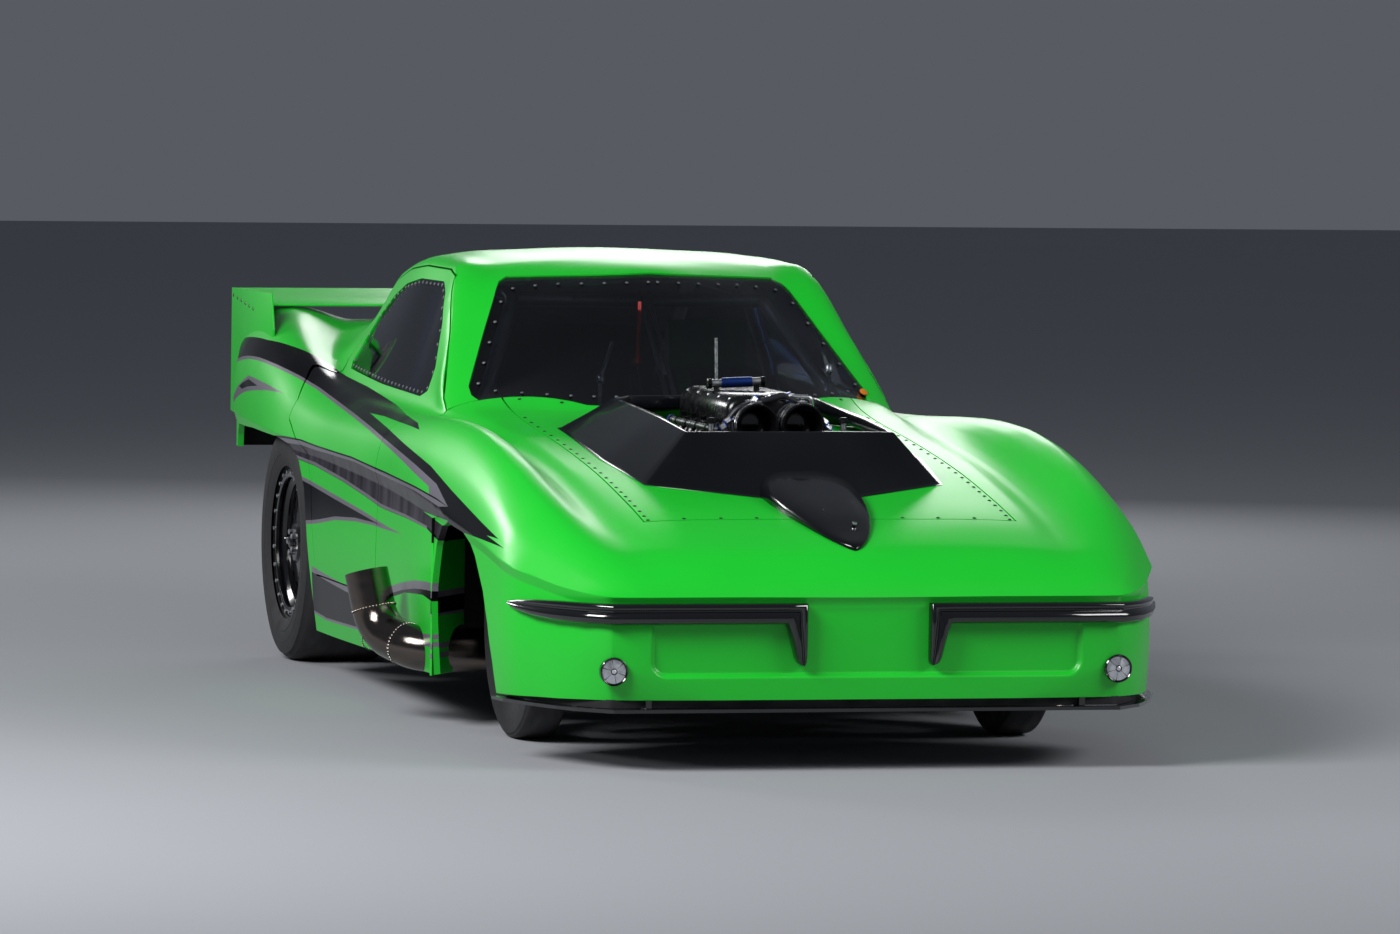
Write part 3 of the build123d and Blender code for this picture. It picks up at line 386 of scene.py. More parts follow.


def finish(name, color, roughness, vary=0.06, scale=8.0, grain=0.0, grain_scale=600.0,
           stretch=(1, 1, 1), low_darkening=0.0, second=None, clouds=0.5, **more):
    """A finish whose colour and roughness drift over the surface.

    scale is that of the drift, grain the strength of a fine bump, stretch its
    direction, and second another colour that clouds mixes in. The argument after
    stretch sets how far the colour darkens in patches towards a dark grey-brown near the ground.
    """
    nodes = Nodes(name)
    where = nodes.node("ShaderNodeMapping", Vector=nodes.where, Scale=stretch).outputs["Vector"]
    drift = nodes.noise(where, scale, 5.0)
    tone = nodes.mixed(1.0, srgb(color), nodes.spread(drift, 1 - vary, 1 + vary), "MULTIPLY")
    if second:
        tone = nodes.mixed(nodes.spread(drift, 0.0, clouds), tone, srgb(second))
    # Near the ground the colour darkens in patches towards a dark grey-brown, more the lower it
    # lies
    if low_darkening:
        height = nodes.node("ShaderNodeSeparateXYZ", Vector=nodes.where).outputs["Z"]
        lowering = nodes.product(nodes.spread(height, low_darkening, 0.0, LOW_TONE_FROM, LOW_TONE_TO),
                             nodes.spread(drift, 0.2, 1.0))
        tone = nodes.mixed(lowering, tone, LOW_TONE)
    rough = nodes.spread(drift, max(0.02, roughness * (1 - 2 * vary)),
                         min(1.0, roughness * (1 + 2 * vary)))
    fine = nodes.noise(where, grain_scale, 2.0) if grain else None
    return nodes.shade(fine, grain, Base_Color=tone, Roughness=rough, **more)


def woven(name, color, threads=900.0, sheen=0.3, slant=0.0):
    """A plain weave of threads per metre."""
    nodes = Nodes(name)
    heights = []
    for turn in (0, math.pi / 2):
        lay = nodes.node("ShaderNodeMapping", Vector=nodes.where, Rotation=(0, turn, slant))
        wave = nodes.node("ShaderNodeTexWave", Vector=lay.outputs["Vector"], Scale=threads / 20,
                          Distortion=0.6)
        heights.append(wave.outputs["Fac"])
    both = nodes.product(*heights)
    return nodes.shade(both, 0.35, Base_Color=nodes.mixed(both, srgb(color, 0.55), srgb(color)),
                       Roughness=0.85, Sheen_Weight=sheen)


PANE_GLOSS = 0.02


def glass(name, tint):
    """A clear tinted pane, its gloss slightly uneven."""
    nodes = Nodes(name)
    drift = nodes.noise(nodes.where, 3.0, 3.0)
    return nodes.shade(Base_Color=nodes.mixed(drift, srgb(tint), srgb(tint, 0.8)),
                       Roughness=nodes.spread(drift, PANE_GLOSS, PANE_GLOSS * 2.5, 0.0, 1.0),
                       Transmission_Weight=1.0, IOR=1.48)


GREEN = finish("green_paint", (4, 196, 36), 0.47, vary=0.02, scale=3.0, grain=0.02,
               grain_scale=2500.0, low_darkening=0.15, Coat_Weight=0.4, Coat_Roughness=0.24)
BLACK = finish("black_paint", (7, 6, 9), 0.18, scale=3.0, low_darkening=0.05,
               Specular_IOR_Level=0.12)
GREY = finish("grey_paint", (112, 108, 118), 0.36, scale=3.0, low_darkening=0.1, Coat_Weight=0.4,
              Coat_Roughness=0.15)
SMOKE = finish("smoke_paint", (20, 16, 22), 0.22, scale=3.2, stretch=(1, 5.0, 0.9),
               second=(88, 83, 92), clouds=0.65, Specular_IOR_Level=0.14)
COWL_BLACK = finish("cowl_black", (5, 6, 10), 0.2, scale=5.0, Coat_Weight=0.5,
                    Coat_Roughness=0.05, Specular_IOR_Level=0.3)
GLOSS_BLACK = finish("gloss_black", (6, 7, 10), 0.14, scale=5.0, Coat_Weight=1.0,
                     Coat_Roughness=0.03)
RUBBER = finish("slick_rubber", (31, 31, 34), 0.72, vary=0.14, scale=14.0, grain=0.35,
                grain_scale=900.0)
RUBBER_WORN = finish("worn_rubber", (44, 43, 45), 0.85, vary=0.2, scale=30.0, grain=0.6,
                     grain_scale=500.0, stretch=(1, 0.3, 0.3))
WHEEL_BLACK = finish("wheel_black", (10, 10, 13), 0.22, scale=20.0, Coat_Weight=0.5,
                     Coat_Roughness=0.06)
STEEL = finish("bright_steel", (205, 206, 208), 0.28, vary=0.1, scale=60.0, grain=0.1,
               grain_scale=1500.0, Metallic=1.0)
DARK_STEEL = finish("dark_steel", (46, 47, 52), 0.42, vary=0.12, scale=30.0, grain=0.1,
                    low_darkening=0.4, Metallic=0.6)
CAGE_SILVER = finish("cage_silver", (120, 124, 132), 0.32, vary=0.08, scale=30.0,
                     Metallic=0.8)
ALLOY_BLACK = finish("black_alloy", (10, 10, 13), 0.26, vary=0.15, scale=40.0, grain=0.15,
                     Metallic=0.4, Coat_Weight=0.3, Coat_Roughness=0.2)
ALLOY_GREY = finish("cast_alloy", (120, 122, 126), 0.5, vary=0.12, scale=60.0, grain=0.4,
                    grain_scale=1200.0, Metallic=0.9)
BLUE_ANODISED = finish("blue_anodised", (40, 70, 150), 0.3, scale=50.0, Metallic=0.9)
PANEL_BLACK = finish("inner_panel", (24, 24, 27), 0.62, vary=0.15, scale=12.0, grain=0.2)
CARBON = woven("carbon_panel", (30, 30, 34), threads=500.0, sheen=0.0, slant=0.4)
SEAT_CLOTH = woven("seat_cloth", (34, 34, 38))
PACK_CLOTH = woven("pack_cloth", (30, 30, 33), threads=700.0)
BELT_CLOTH = woven("belt_cloth", (24, 120, 46), threads=1200.0)
SUEDE = finish("steering_grip", (26, 26, 28), 0.9, vary=0.15, scale=60.0, grain=0.5,
               grain_scale=1800.0, Sheen_Weight=0.4)
HEATED = finish("heated_steel", (108, 104, 101), 0.12, vary=0.1, scale=14.0, grain=0.12,
                grain_scale=900.0, stretch=(1, 1, 4), second=(128, 104, 84), clouds=0.35,
                Metallic=1.0)
INNER = finish("inner_shell", (20, 20, 22), 0.6, vary=0.15, scale=10.0, grain=0.25)
LAMP_METAL = finish("lamp_metal", (226, 229, 234), 0.4, vary=0.12, scale=90.0, grain=0.05,
                    Metallic=1.0)
RED_LENS = finish("red_lens", (120, 6, 12), 0.12, scale=30.0, Coat_Weight=1.0,
                  Coat_Roughness=0.03)
AMBER = finish("amber_trim", (215, 120, 30), 0.4, scale=30.0)
RED_TRIM = finish("red_trim", (150, 22, 20), 0.35, scale=30.0)
WINDOW = glass("smoked_window", (70, 88, 130))
SCREEN_GLASS = glass("smoked_screen", (158, 163, 172))


# Meshes
def across(way):
    """A direction at right angles to a way."""
    return unit(np.cross(way, (0.0, 0.0, 1.0) if abs(way[2]) < 0.9 else (1.0, 0.0, 0.0)))


def circle(way, side, sides):
    """Unit steps all round a way, beginning at side."""
    angle = np.linspace(0, 2 * math.pi, sides, endpoint=False)[:, None]
    return np.cos(angle) * side + np.sin(angle) * np.cross(way, side)


class Shape:
    """A mesh put together from simple forms, in millimetres."""

    def __init__(self):
        self.points, self.faces, self.slots = [], [], []

    def add(self, points, faces, slot=0):
        """Add points and faces, with the number of their material."""
        start = len(self.points)
        self.points += [tuple(float(c) for c in p) for p in points]
        self.faces += [tuple(start + int(i) for i in f) for f in faces]
        self.slots += [slot] * len(faces)
        return self

    def rings(self, rings, slot=0, closed=True, caps=True):
        """Join rings of equal length; closed joins each ring's ends, caps its first and last."""
        rings = [np.asarray(r, float) for r in rings]
        n = len(rings[0])
        faces = []
        for i in range(len(rings) - 1):
            for j in range(n if closed else n - 1):
                k = (j + 1) % n
                faces.append((i * n + j, i * n + k, (i + 1) * n + k, (i + 1) * n + j))
        if caps:
            faces.append(tuple(reversed(range(n))))
            faces.append(tuple(range((len(rings) - 1) * n, len(rings) * n)))
        return self.add(np.concatenate(rings), faces, slot)

    def spin(self, profile, centre, axis=(1, 0, 0), slot=0, sides=48, closed=False, caps=True):
        """Turn a profile of (along the axis, radius) about the axis through centre."""
        along = unit(np.array(axis, float))
        steps = circle(along, across(along), sides)
        rings = [np.array(centre) + along * a + steps * r for a, r in profile]
        if closed:
            rings.append(rings[0])
        return self.rings(rings, slot, True, caps and not closed)

    def rod(self, path, radius, slot=0, sides=12):
        """A round bar along a path; radius may be one number or one for each point."""
        path = np.array(path, float)
        radii = np.broadcast_to(radius, (len(path),))
        way = unit(np.gradient(path, axis=0))
        side = across(way[0])
        rings = []
        for p, w, r in zip(path, way, radii):
            side = unit(side - w * (side @ w))
            rings.append(p + r * circle(w, side, sides))
        return self.rings(rings, slot)

    def slab(self, outline, ends, slot=0):
        """Fill a side outline of (y, z) between two places across the car."""
        return self.rings([[(x, y, z) for y, z in outline] for x in ends], slot)

    def block(self, low, high, slot=0):
        """A box between two of its corners."""
        (x0, y0, z0), (x1, y1, z1) = low, high
        ring = [(x0, y0), (x1, y0), (x1, y1), (x0, y1)]
        return self.rings([[(a, b, z) for a, b in ring] for z in (z0, z1)], slot)

    def both_sides(self):
        """Add the mirror image on the car's other side."""
        n = len(self.points)
        self.points += [(-x, y, z) for x, y, z in self.points]
        self.faces += [tuple(n + i for i in reversed(f)) for f in self.faces]
        self.slots += self.slots
        return self

    def mirrored(self):
        """Turn the shape into its mirror image on the car's other side."""
        self.points = [(-x, y, z) for x, y, z in self.points]
        self.faces = [tuple(reversed(f)) for f in self.faces]
        return self

    def finish(self, name, materials, body="car", slot=None, replaces=(), smooth=35, bevel=0,
               weld=False):
        """Make the shape an object of the scene."""
        mesh = bpy.data.meshes.new(name)
        points = (np.array(self.points) - (0, ORIGIN_Y, 0)) / 1000
        mesh.from_pydata(points.tolist(), [], self.faces)
        mesh.polygons.foreach_set("material_index", self.slots)
        bm = bmesh.new()
        bm.from_mesh(mesh)
        if weld:
            bmesh.ops.remove_doubles(bm, verts=bm.verts[:], dist=0.00005)
        bmesh.ops.recalc_face_normals(bm, faces=bm.faces[:])
        bm.to_mesh(mesh)
        bm.free()
        return placed(name, mesh, materials, body, replaces, smooth, bevel)


def modify(piece, kind, **settings):
    """Add a modifier with its settings."""
    made = piece.modifiers.new(kind.lower(), kind)
    for key, value in settings.items():
        setattr(made, key, value)


def placed(name, mesh, materials, body="car", replaces=(), smooth=35, bevel=0,
           wall=0):
    """An object for a mesh: its wall and bevel made, shaded, and riding on a body."""
    for material in materials:
        mesh.materials.append(material)
    piece = bpy.data.objects.new(name, mesh)
    bpy.context.scene.collection.objects.link(piece)
    if wall:
        modify(piece, "SOLIDIFY", thickness=wall / 1000, offset=-1,
               material_offset=len(materials))
    if bevel:
        modify(piece, "BEVEL", width=bevel / 1000, segments=2, limit_method="ANGLE",
               angle_limit=math.radians(30), use_clamp_overlap=True)
    if wall or bevel:
        bake(piece)
    piece.data.shade_smooth()
    if smooth:
        piece.data.set_sharp_from_angle(angle=math.radians(smooth))
    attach(piece, body)
    if replaces:
        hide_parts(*replaces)
    return piece


def bake(piece):
    """Make the piece's modifiers part of its mesh."""
    graph = bpy.context.evaluated_depsgraph_get()
    mesh = bpy.data.meshes.new_from_object(piece.evaluated_get(graph))
    piece.modifiers.clear()
    piece.data = mesh


def bend(points, radius, steps=8):
    """A path with its corners rounded to a radius."""
    points = [np.array(p, float) for p in points]
    path = [points[0]]
    for before, corner, after in zip(points, points[1:], points[2:]):
        u, v = unit(before - corner), unit(after - corner)
        half = math.acos(np.clip(u @ v, -1, 1)) / 2
        reach = radius / math.tan(half)
        centre = corner + unit(u + v) * radius / math.sin(half)
        a, b = corner + u * reach - centre, corner + v * reach - centre
        full = math.pi - 2 * half
        for i in range(steps + 1):
            t = i / steps
            path.append(centre + (math.sin((1 - t) * full) * a + math.sin(t * full) * b)
                        / math.sin(full))
    path.append(points[-1])
    return np.array(path)


def grown(outline, amount):
    """An outline moved outwards by amount."""
    pts = np.array(outline, float)
    area = np.sum(pts[:, 0] * np.roll(pts[:, 1], -1) - np.roll(pts[:, 0], -1) * pts[:, 1])
    turn = np.sign(area)
    out = []
    for i in range(len(pts)):
        a, b, c = pts[i - 1], pts[i], pts[(i + 1) % len(pts)]
        n1, n2 = unit(b - a), unit(c - b)
        n1, n2 = turn * np.array([n1[1], -n1[0]]), turn * np.array([n2[1], -n2[0]])
        out.append(b + (n1 + n2) * amount / (1 + n1 @ n2))
    return [tuple(p) for p in out]


def inside(outline, u, v):
    """Which of the points (u, v) lie inside the outline."""
    hit = np.zeros(len(u), bool)
    for (a, b), (c, d) in zip(outline, outline[1:] + outline[:1]):
        if b == d:
            continue
        crosses = (b > v) != (d > v)
        hit ^= crosses & (u < (c - a) * (v - b) / (d - b) + a)
    return hit


# Each view of an outline: its two directions, and the direction to its viewer
VIEWS = {"side": ((0, 1, 0), (0, 0, 1), (1, 0, 0)),
         "top": ((1, 0, 0), (0, 1, 0), (0, 0, 1)),
         "front": ((1, 0, 0), (0, 0, 1), (0, -1, 0)),
         "slant": ((0, 1, 0), (-0.6, 0, 0.8), (0.8, 0, 0.6))}


def cut(bm, outline, view, beyond, closed=True, margin=70):
    """Cut the mesh along an outline, where it is nearer to the viewer than beyond."""
    axes = np.array(VIEWS[view], float)
    ends = list(zip(outline, outline[1:] + outline[:1]))
    for p, q in ends if closed else ends[:-1]:
        p, q = np.array(p, float), np.array(q, float)
        seen = np.array([v.co for v in bm.verts]) @ axes.T
        low, high = np.minimum(p, q) - margin, np.maximum(p, q) + margin
        near = ((seen[:, :2] > low) & (seen[:, :2] < high)).all(1) & (seen[:, 2] > beyond)
        verts = [v for v, yes in zip(bm.verts, near) if yes]
        faces = {f for v in verts for f in v.link_faces}
        edges = {e for f in faces for e in f.edges}
        corners = {v for f in faces for v in f.verts}
        place = axes[0] * p[0] + axes[1] * p[1]
        normal = axes[0] * (q[1] - p[1]) - axes[1] * (q[0] - p[0])
        bmesh.ops.bisect_plane(bm, geom=[*faces, *edges, *corners], dist=0.02,
                               plane_co=place, plane_no=normal)


def middles(bm):
    """The middle of each face."""
    return np.array([f.calc_center_median() for f in bm.faces]).reshape(-1, 3)


def paint(bm, graphics, view, beyond):
    """Cut the graphics into the mesh and give their faces their material."""
    for _, outline in graphics:
        cut(bm, outline, view, beyond)
    axes = np.array(VIEWS[view], float)
    seen = middles(bm) @ axes.T
    for material, outline in graphics:
        hit = inside(outline, seen[:, 0], seen[:, 1]) & (seen[:, 2] > beyond)
        for f, yes in zip(bm.faces, hit):
            if yes:
                f.material_index = material


def grid_mesh(grid):
    """A bmesh of a grid of points, facing outwards on the car's left."""
    rows, columns = grid.shape[:2]
    bm = bmesh.new()
    verts = [bm.verts.new(p) for p in grid.reshape(-1, 3)]
    for i in range(rows - 1):
        for j in range(columns - 1):
            a = i * columns + j
            corners = [verts[k] for k in (a, a + 1, a + columns + 1, a + columns)]
            bm.faces.new(corners)
    return bm


# Relief of the nose: how far it lies back from its front plane
COVE = [(192, 0), (385, 0), (400, 3), (424, 10), (440, 12), (452, 9), (466, 0)]
FOLD = [(735, 306), (460, 201)]        # below this line the nose turns under
FOLD_SLOPE = 0.2
FOLD_ROUND, FOLD_REACH = 12, 60
RECESS = dict(half=599, low=250, top=460, fade=30, depth=14, ramp=14, round=46)
NOSE_TOP = 466         # the height of the nose's upper edge
RELIEF_END = -850
CORNER = dict(reach=90, back=9, fade=12, end=-900)    # how the front turns into the sides


def nose_relief(x, z):
    """How far back the nose lies at x and z."""
    cove = smoothly(COVE, z)
    across, above, bend_r = RECESS["half"] - x, z - RECESS["low"], RECESS["round"]
    within = np.where((across < bend_r) & (above < bend_r),
                      bend_r - np.hypot(bend_r - across, bend_r - above),
                      np.minimum(across, above))
    rise = np.clip(within / RECESS["ramp"], 0, 1)
    fade = np.clip((RECESS["top"] - z) / RECESS["fade"], 0, 1)
    recess = RECESS["depth"] * rise * rise * (3 - 2 * rise) * fade
    (x1, z1), (x0, z0) = FOLD
    out = ((x - x0) * (z1 - z0) - (z - z0) * (x1 - x0)) / math.hypot(x1 - x0, z1 - z0)
    fold = FOLD_SLOPE * (np.sqrt(out * out + FOLD_ROUND ** 2) + out) / 2
    return np.maximum(cove, recess) + np.where(out > -FOLD_REACH, fold, 0)


def skin(low, high, inset=0, step=22):
    """The left half of the body skin between two stations."""
    return grid_mesh(body_grid(stations(low, high, step), inset))


bm = skin(NOSE_Y, TAIL_Y)
crease_column = sum(STEPS[:7])
edge = body_grid([NOSE_Y])[0]
crown_row, corner = edge[:crease_column + 1], edge[crease_column:]
ramp_at = [RECESS["half"] + 3 - 5 * k for k in range(11)]
ledge_at = [RECESS["low"] - 3 + 4 * k for k in range(13)]
levels = np.array(sorted(set(corner[:, 2]) | set(ledge_at)))[::-1]
corner = np.stack([np.interp(levels, corner[::-1, 2], corner[::-1, k]) for k in range(3)], 1)
corner_at = [corner[0][0] - d for d in (5, 14, 30, 52)]
spread_x = np.array(sorted(set(crown_row[:, 0]) | set(ramp_at) | set(corner_at)))
crown_row = np.stack([spread_x, np.full(len(spread_x), float(NOSE_Y)),
                      np.interp(spread_x, crown_row[:, 0], crown_row[:, 2])], 1)
rows = []
for i, (x, _, z) in enumerate(corner):
    down = (corner[0][2] - z) / (corner[0][2] - corner[-1][2])
    row = crown_row.copy()
    row[:, 0] *= x / corner[0][0]
    row[:, 2] += (z - corner[0][2]) + down * (corner[0][2] - crown_row[:, 2]) * (i > 0)
    rows.append(row)
front = grid_mesh(np.array(rows)[:, ::-1])
front_mesh = bpy.data.meshes.new("front")
front.to_mesh(front_mesh)
bm.from_mesh(front_mesh)
tail_row = [p for p in body_grid([TAIL_Y])[0] if p[2] > TAIL_FOOT]
tail_row += [(tail_row[-1][0] + 3, TAIL_Y, TAIL_FOOT), (0, TAIL_Y, TAIL_FOOT)]
cap = [bm.verts.new(p) for p in tail_row]
bm.faces.new(cap)
bmesh.ops.remove_doubles(bm, verts=bm.verts[:], dist=0.05)
bmesh.ops.recalc_face_normals(bm, faces=bm.faces[:])
for v in bm.verts:
    start = np.interp(v.co.z, corner[::-1, 2], corner[::-1, 0]) - CORNER["reach"]
    if v.co.y < CORNER["end"] and v.co.x > start:
        turn = min(1.0, (v.co.x - start) / CORNER["reach"]) ** 2
        v.co.y += CORNER["back"] * turn * math.exp((NOSE_Y - v.co.y) / CORNER["fade"])
    if v.co.y < RELIEF_END and v.co.z < NOSE_TOP - 0.1:
        fade = min(1.0, (RELIEF_END - v.co.y) / (RELIEF_END - NOSE_Y))
        v.co.y += fade * float(nose_relief(v.co.x, v.co.z))

skin_tree = BVHTree.FromBMesh(bm)
FAR = 3000


def on_body(a, b, view="top"):
    """The point and normal of the outer skin where a viewer sees (a, b)."""
    u, v, w = (Vector(d) for d in VIEWS[view])
    sign = -1 if view == "top" and a < 0 else 1
    place, normal, _, _ = skin_tree.ray_cast(u * a * sign + v * b + w * FAR, -w)
    if normal @ w < 0:
        normal = -normal
    return [Vector((sign * found.x, found.y, found.z)) for found in (place, normal)]


for arch in (ARCH_FRONT, ARCH_REAR):
    cut(bm, arch, "side", ARCH_CUT)
for shift in (-SEAM, SEAM):
    cut(bm, [(x, y + shift) for x, y in CLIP_EDGE], "top", 0, closed=False)
    cut(bm, [(PAST_MIDDLE, HOOD_FRONT - shift), (HOOD_HALF + shift, HOOD_FRONT - shift),
             (HOOD_HALF + shift, HOOD_BACK)], "top", HOOD_ABOVE, closed=False)
    cut(bm, grown(DOOR, shift), "side", DOOR_REACH)
cut(bm, OPENING, "top", HOOD_ABOVE, closed=False)
cut(bm, SCREEN[1:], "front", -SCREEN_BACK, closed=False)
cut(bm, REAR_PANE, "top", ROOF_ABOVE)
cut(bm, SIDE_WINDOW, "side", DOOR_REACH)
paint(bm, GRAPHICS, "slant", PAINT_REACH)


def clip_edge(x):
    """The y of the front clip's rear edge at x."""
    return np.interp(x, *np.array(CLIP_EDGE, float).T)


TAIL_OPEN, HOOD_FOOT = 2900, 500
x, y, z = middles(bm).T
clip_front = y < clip_edge(x) - SEAM
clip_behind = y > clip_edge(x) + SEAM
arch = (inside(ARCH_FRONT, y, z) | inside(ARCH_REAR, y, z)) & (x > ARCH_REACH)
open_tail = (y > TAIL_OPEN) & (z < TAIL_FOOT)
hood_in = (x < HOOD_HALF - SEAM) & (y > HOOD_FRONT + SEAM) & (z > HOOD_FOOT)
hood_out = (x > HOOD_HALF + SEAM) | (y < HOOD_FRONT - SEAM) | (z < HOOD_FOOT)
opened = (x < ENGINE_HALF) & (y > ENGINE_FRONT) & (y < ENGINE_REAR)
sideways = x > DOOR_REACH
door_in = inside(grown(DOOR, -SEAM), y, z) & sideways
door_out = ~(inside(grown(DOOR, SEAM), y, z) & sideways)
window = inside(SIDE_WINDOW, y, z) & sideways
glazed = inside(SCREEN, x, z) & (y > SCREEN_RANGE[0]) & (y < SCREEN_RANGE[1])
pane = inside(REAR_PANE, x, y) & (z > ROOF_ABOVE)
panels = {"front_clip": clip_front & hood_out,
          "hood_panel": clip_front & hood_in & ~opened,
          "body_shell": clip_behind & door_out & ~glazed & ~pane,
          "door": clip_behind & door_in & ~window}
for name in panels:
    panels[name] = panels[name] & ~arch & ~open_tail


def half_mesh(source, keep, title, side):
    """A mesh of the kept faces, on the left, the right or both sides, in metres."""
    part = source.copy()
    drop = [f for f, yes in zip(part.faces, keep) if not yes]
    bmesh.ops.delete(part, geom=drop, context="FACES")
    mesh = bpy.data.meshes.new(title)
    if side == "both":
        part.to_mesh(mesh)
    if side != "left":
        for v in part.verts:
            v.co.x = -v.co.x
        bmesh.ops.reverse_faces(part, faces=part.faces[:])
    if side == "both":
        part.from_mesh(mesh)
        bmesh.ops.remove_doubles(part, verts=part.verts[:], dist=0.05)
    for v in part.verts:
        v.co = Vector((v.co.x, v.co.y - ORIGIN_Y, v.co.z)) / 1000
    part.to_mesh(mesh)
    part.free()
    return mesh


PAINTS = [GREEN, BLACK, GREY, SMOKE, INNER]
for name, keep in panels.items():
    for side in ("left", "right") if name == "door" else ("both",):
        title = f"door_{side}" if name == "door" else name
        mesh = half_mesh(bm, keep, title, side)
        placed(f"{title}_skin", mesh, PAINTS, title if name == "door" else "car",
               [title], smooth=45 if name == "front_clip" else 28, wall=WALL)

# Windows, set a little under the skin
SCREEN_FOOT = 8        # from the hood's edge to the windshield
PANE_SINK, PANE_WALL = 5, 5
PANES = {"windshield": ("front", SCREEN, SCREEN_RANGE, SCREEN_GLASS),
         "rear_windows": ("top", REAR_PANE, (2250, 2900), WINDOW),
         "door_window": ("side", SIDE_WINDOW, (1380, 2560), WINDOW)}
for name, (view, outline, (low, high), tint) in PANES.items():
    clear = skin(low, high, inset=PANE_SINK, step=14)
    bmesh.ops.recalc_face_normals(clear, faces=clear.faces[:])
    if name == "windshield":
        cut(clear, outline[1:], view, -SCREEN_BACK, closed=False)
        cut(clear, [(x, y + SCREEN_FOOT) for x, y in CLIP_EDGE], "top", 0, closed=False)
    else:
        cut(clear, outline, view, -SCREEN_BACK)
    x, y, z = middles(clear).T
    seen = middles(clear) @ np.array(VIEWS[view], float).T
    near = {"windshield": y > clip_edge(x) + SCREEN_FOOT, "rear_windows": z > ROOF_ABOVE,
            "door_window": x > DOOR_REACH}
    keep = inside(outline, seen[:, 0], seen[:, 1]) & near[name]
    for side in ("left", "right") if name == "door_window" else ("both",):
        title = name if side == "both" else f"door_window_{side}"
        placed(f"{title}_glass", half_mesh(clear, keep, title, side), [tint],
               "car" if side == "both" else f"door_{side}", [title], smooth=40,
               wall=PANE_WALL)

# Hood cowl: a raised black box round the engine
COWL_FOOT = [(0, -372), (130, -372), (418, -215), (452, 120), (452, 640), (300, 720), (0, 745)]
COWL_TOP = [(0, -180, 858), (120, -180, 858), (296, -176, 856), (300, 120, 880),
            (300, 640, 905), (250, 702, 908), (0, 705, 910)]
COWL_STEPS = (6, 6, 7, 8, 4, 6)
COWL_LIFT = 1.5        # of the foot's edge above the hood
FLANGE = 12
COWL_EDGE = dict(width=20, drop=34)
COWL_MIDDLE, COWL_TURN = 250, 1.2
foot, brim = [], []
for i, steps in enumerate(COWL_STEPS):
    for k in range(steps + (i == len(COWL_STEPS) - 1)):
        t = k / steps
        foot.append(np.array(COWL_FOOT[i]) * (1 - t) + np.array(COWL_FOOT[i + 1]) * t)
        brim.append(np.array(COWL_TOP[i]) * (1 - t) + np.array(COWL_TOP[i + 1]) * t)


def outwards(x, y, step):
    """The place that lies a step further away from the cowl's middle."""
    way = unit(np.array([x, (y - COWL_MIDDLE) * COWL_TURN]))
    return x + way[0] * step, y + way[1] * step


flat = [(x, y, on_body(x, y)[0].z + COWL_LIFT) for x, y in foot]
outer, lip = [], []
for x, y, _ in flat:
    x, y = outwards(x, y, FLANGE)
    outer.append((x, y, on_body(x, y)[0].z + COWL_LIFT))
lean = [np.array(a) * 0.5 + np.array(b) * 0.5 for a, b in zip(flat, brim)]
for x, y, z in brim:
    x, y = outwards(x, y, -COWL_EDGE["width"])
    lip.append((max(x, 0), y, z))
drop = [(x, y, z - COWL_EDGE["drop"]) for x, y, z in lip]
cowl = Shape().rings([outer, flat, lean, brim, lip, drop], closed=False, caps=False).both_sides()
cowl.finish("hood_cowl_body", [COWL_BLACK], slot="black_gloss", replaces=["hood_cowl"],
            smooth=32, bevel=5, weld=True)

# The cowl's spear, which runs to the nose
SPEAR_ROWS = (-866, -862, -856, -846, -830, -805, -770, -720, -650, -560, -460, -372, -330, -300)
SPEAR_ROUND = 0.62
SPEAR_WIDTH = [(-866, 2), (-860, 12), (-845, 26), (-820, 42), (-790, 57), (-720, 82),
               (-640, 103), (-560, 118), (-372, 135), (-330, 128), (-290, 110)]
SPEAR_CREST = [(-866, 585), (-858, 594), (-842, 602), (-820, 609), (-790, 619), (-740, 638),
               (-660, 669), (-560, 696), (-450, 724), (-330, 752), (-290, 757)]
rows = []
for y in SPEAR_ROWS:
    half, crest = float(smoothly(SPEAR_WIDTH, y)), float(smoothly(SPEAR_CREST, y))
    row = []
    for turn in np.linspace(math.pi / 2, 0, 15):
        u, v = math.cos(turn) ** SPEAR_ROUND, max(math.sin(turn), 0) ** SPEAR_ROUND
        base = on_body(half * u, y)[0].z + 0.8
        row.append((half * u, y, base + max(crest - base, 0) * v))
    rows.append(row)
Shape().rings(rows, closed=False, caps=False).both_sides().finish(
    "hood_cowl_spear", [COWL_BLACK], slot="black_gloss", smooth=50, weld=True)

# Bumper blades: an upper bead, a groove and a lower bar, turned down beside the middle
BLADE_SECTION = [(-22, 22), (10, 22), (16, 18), (18, 13), (17, 8), (14, 5), (14, 1), (20, -4),
                 (25, -12), (25, -22), (19, -30), (6, -34), (-22, -34)]
BLADE_STOPS = [(229, 1.0), (330, 1.0), (500, 1.0), (700, 1.0), (765, 1.0), (816, 0.95),
               (852, 0.82), (885, 0.5), (903, 0.15)]
BLADE_Z = 427
BLADE_TOP, BLADE_TALL = 22, 56
# The part that turns down: its outer and inner edge, its height and that of its top over it
BLADE_LEG = [(229, 170, 427, 22), (226, 170, 391, 3), (221, 170, 375, 0), (211, 170, 338, 0),
             (203, 170, 305, 0), (197, 171, 291, 0), (187, 174, 284, 0), (180, 178, 282, 0)]
LEG_WIDTH = 59
nose_line = body_grid(stations(NOSE_Y, -640, 10))[:, crease_column]


def nose_front(x):
    """The y of the nose's front at x from the middle, rounded at the corner."""
    order = np.argsort(nose_line[:, 0])
    return float(np.interp(x, nose_line[order, 0], nose_line[order, 1], left=NOSE_Y))


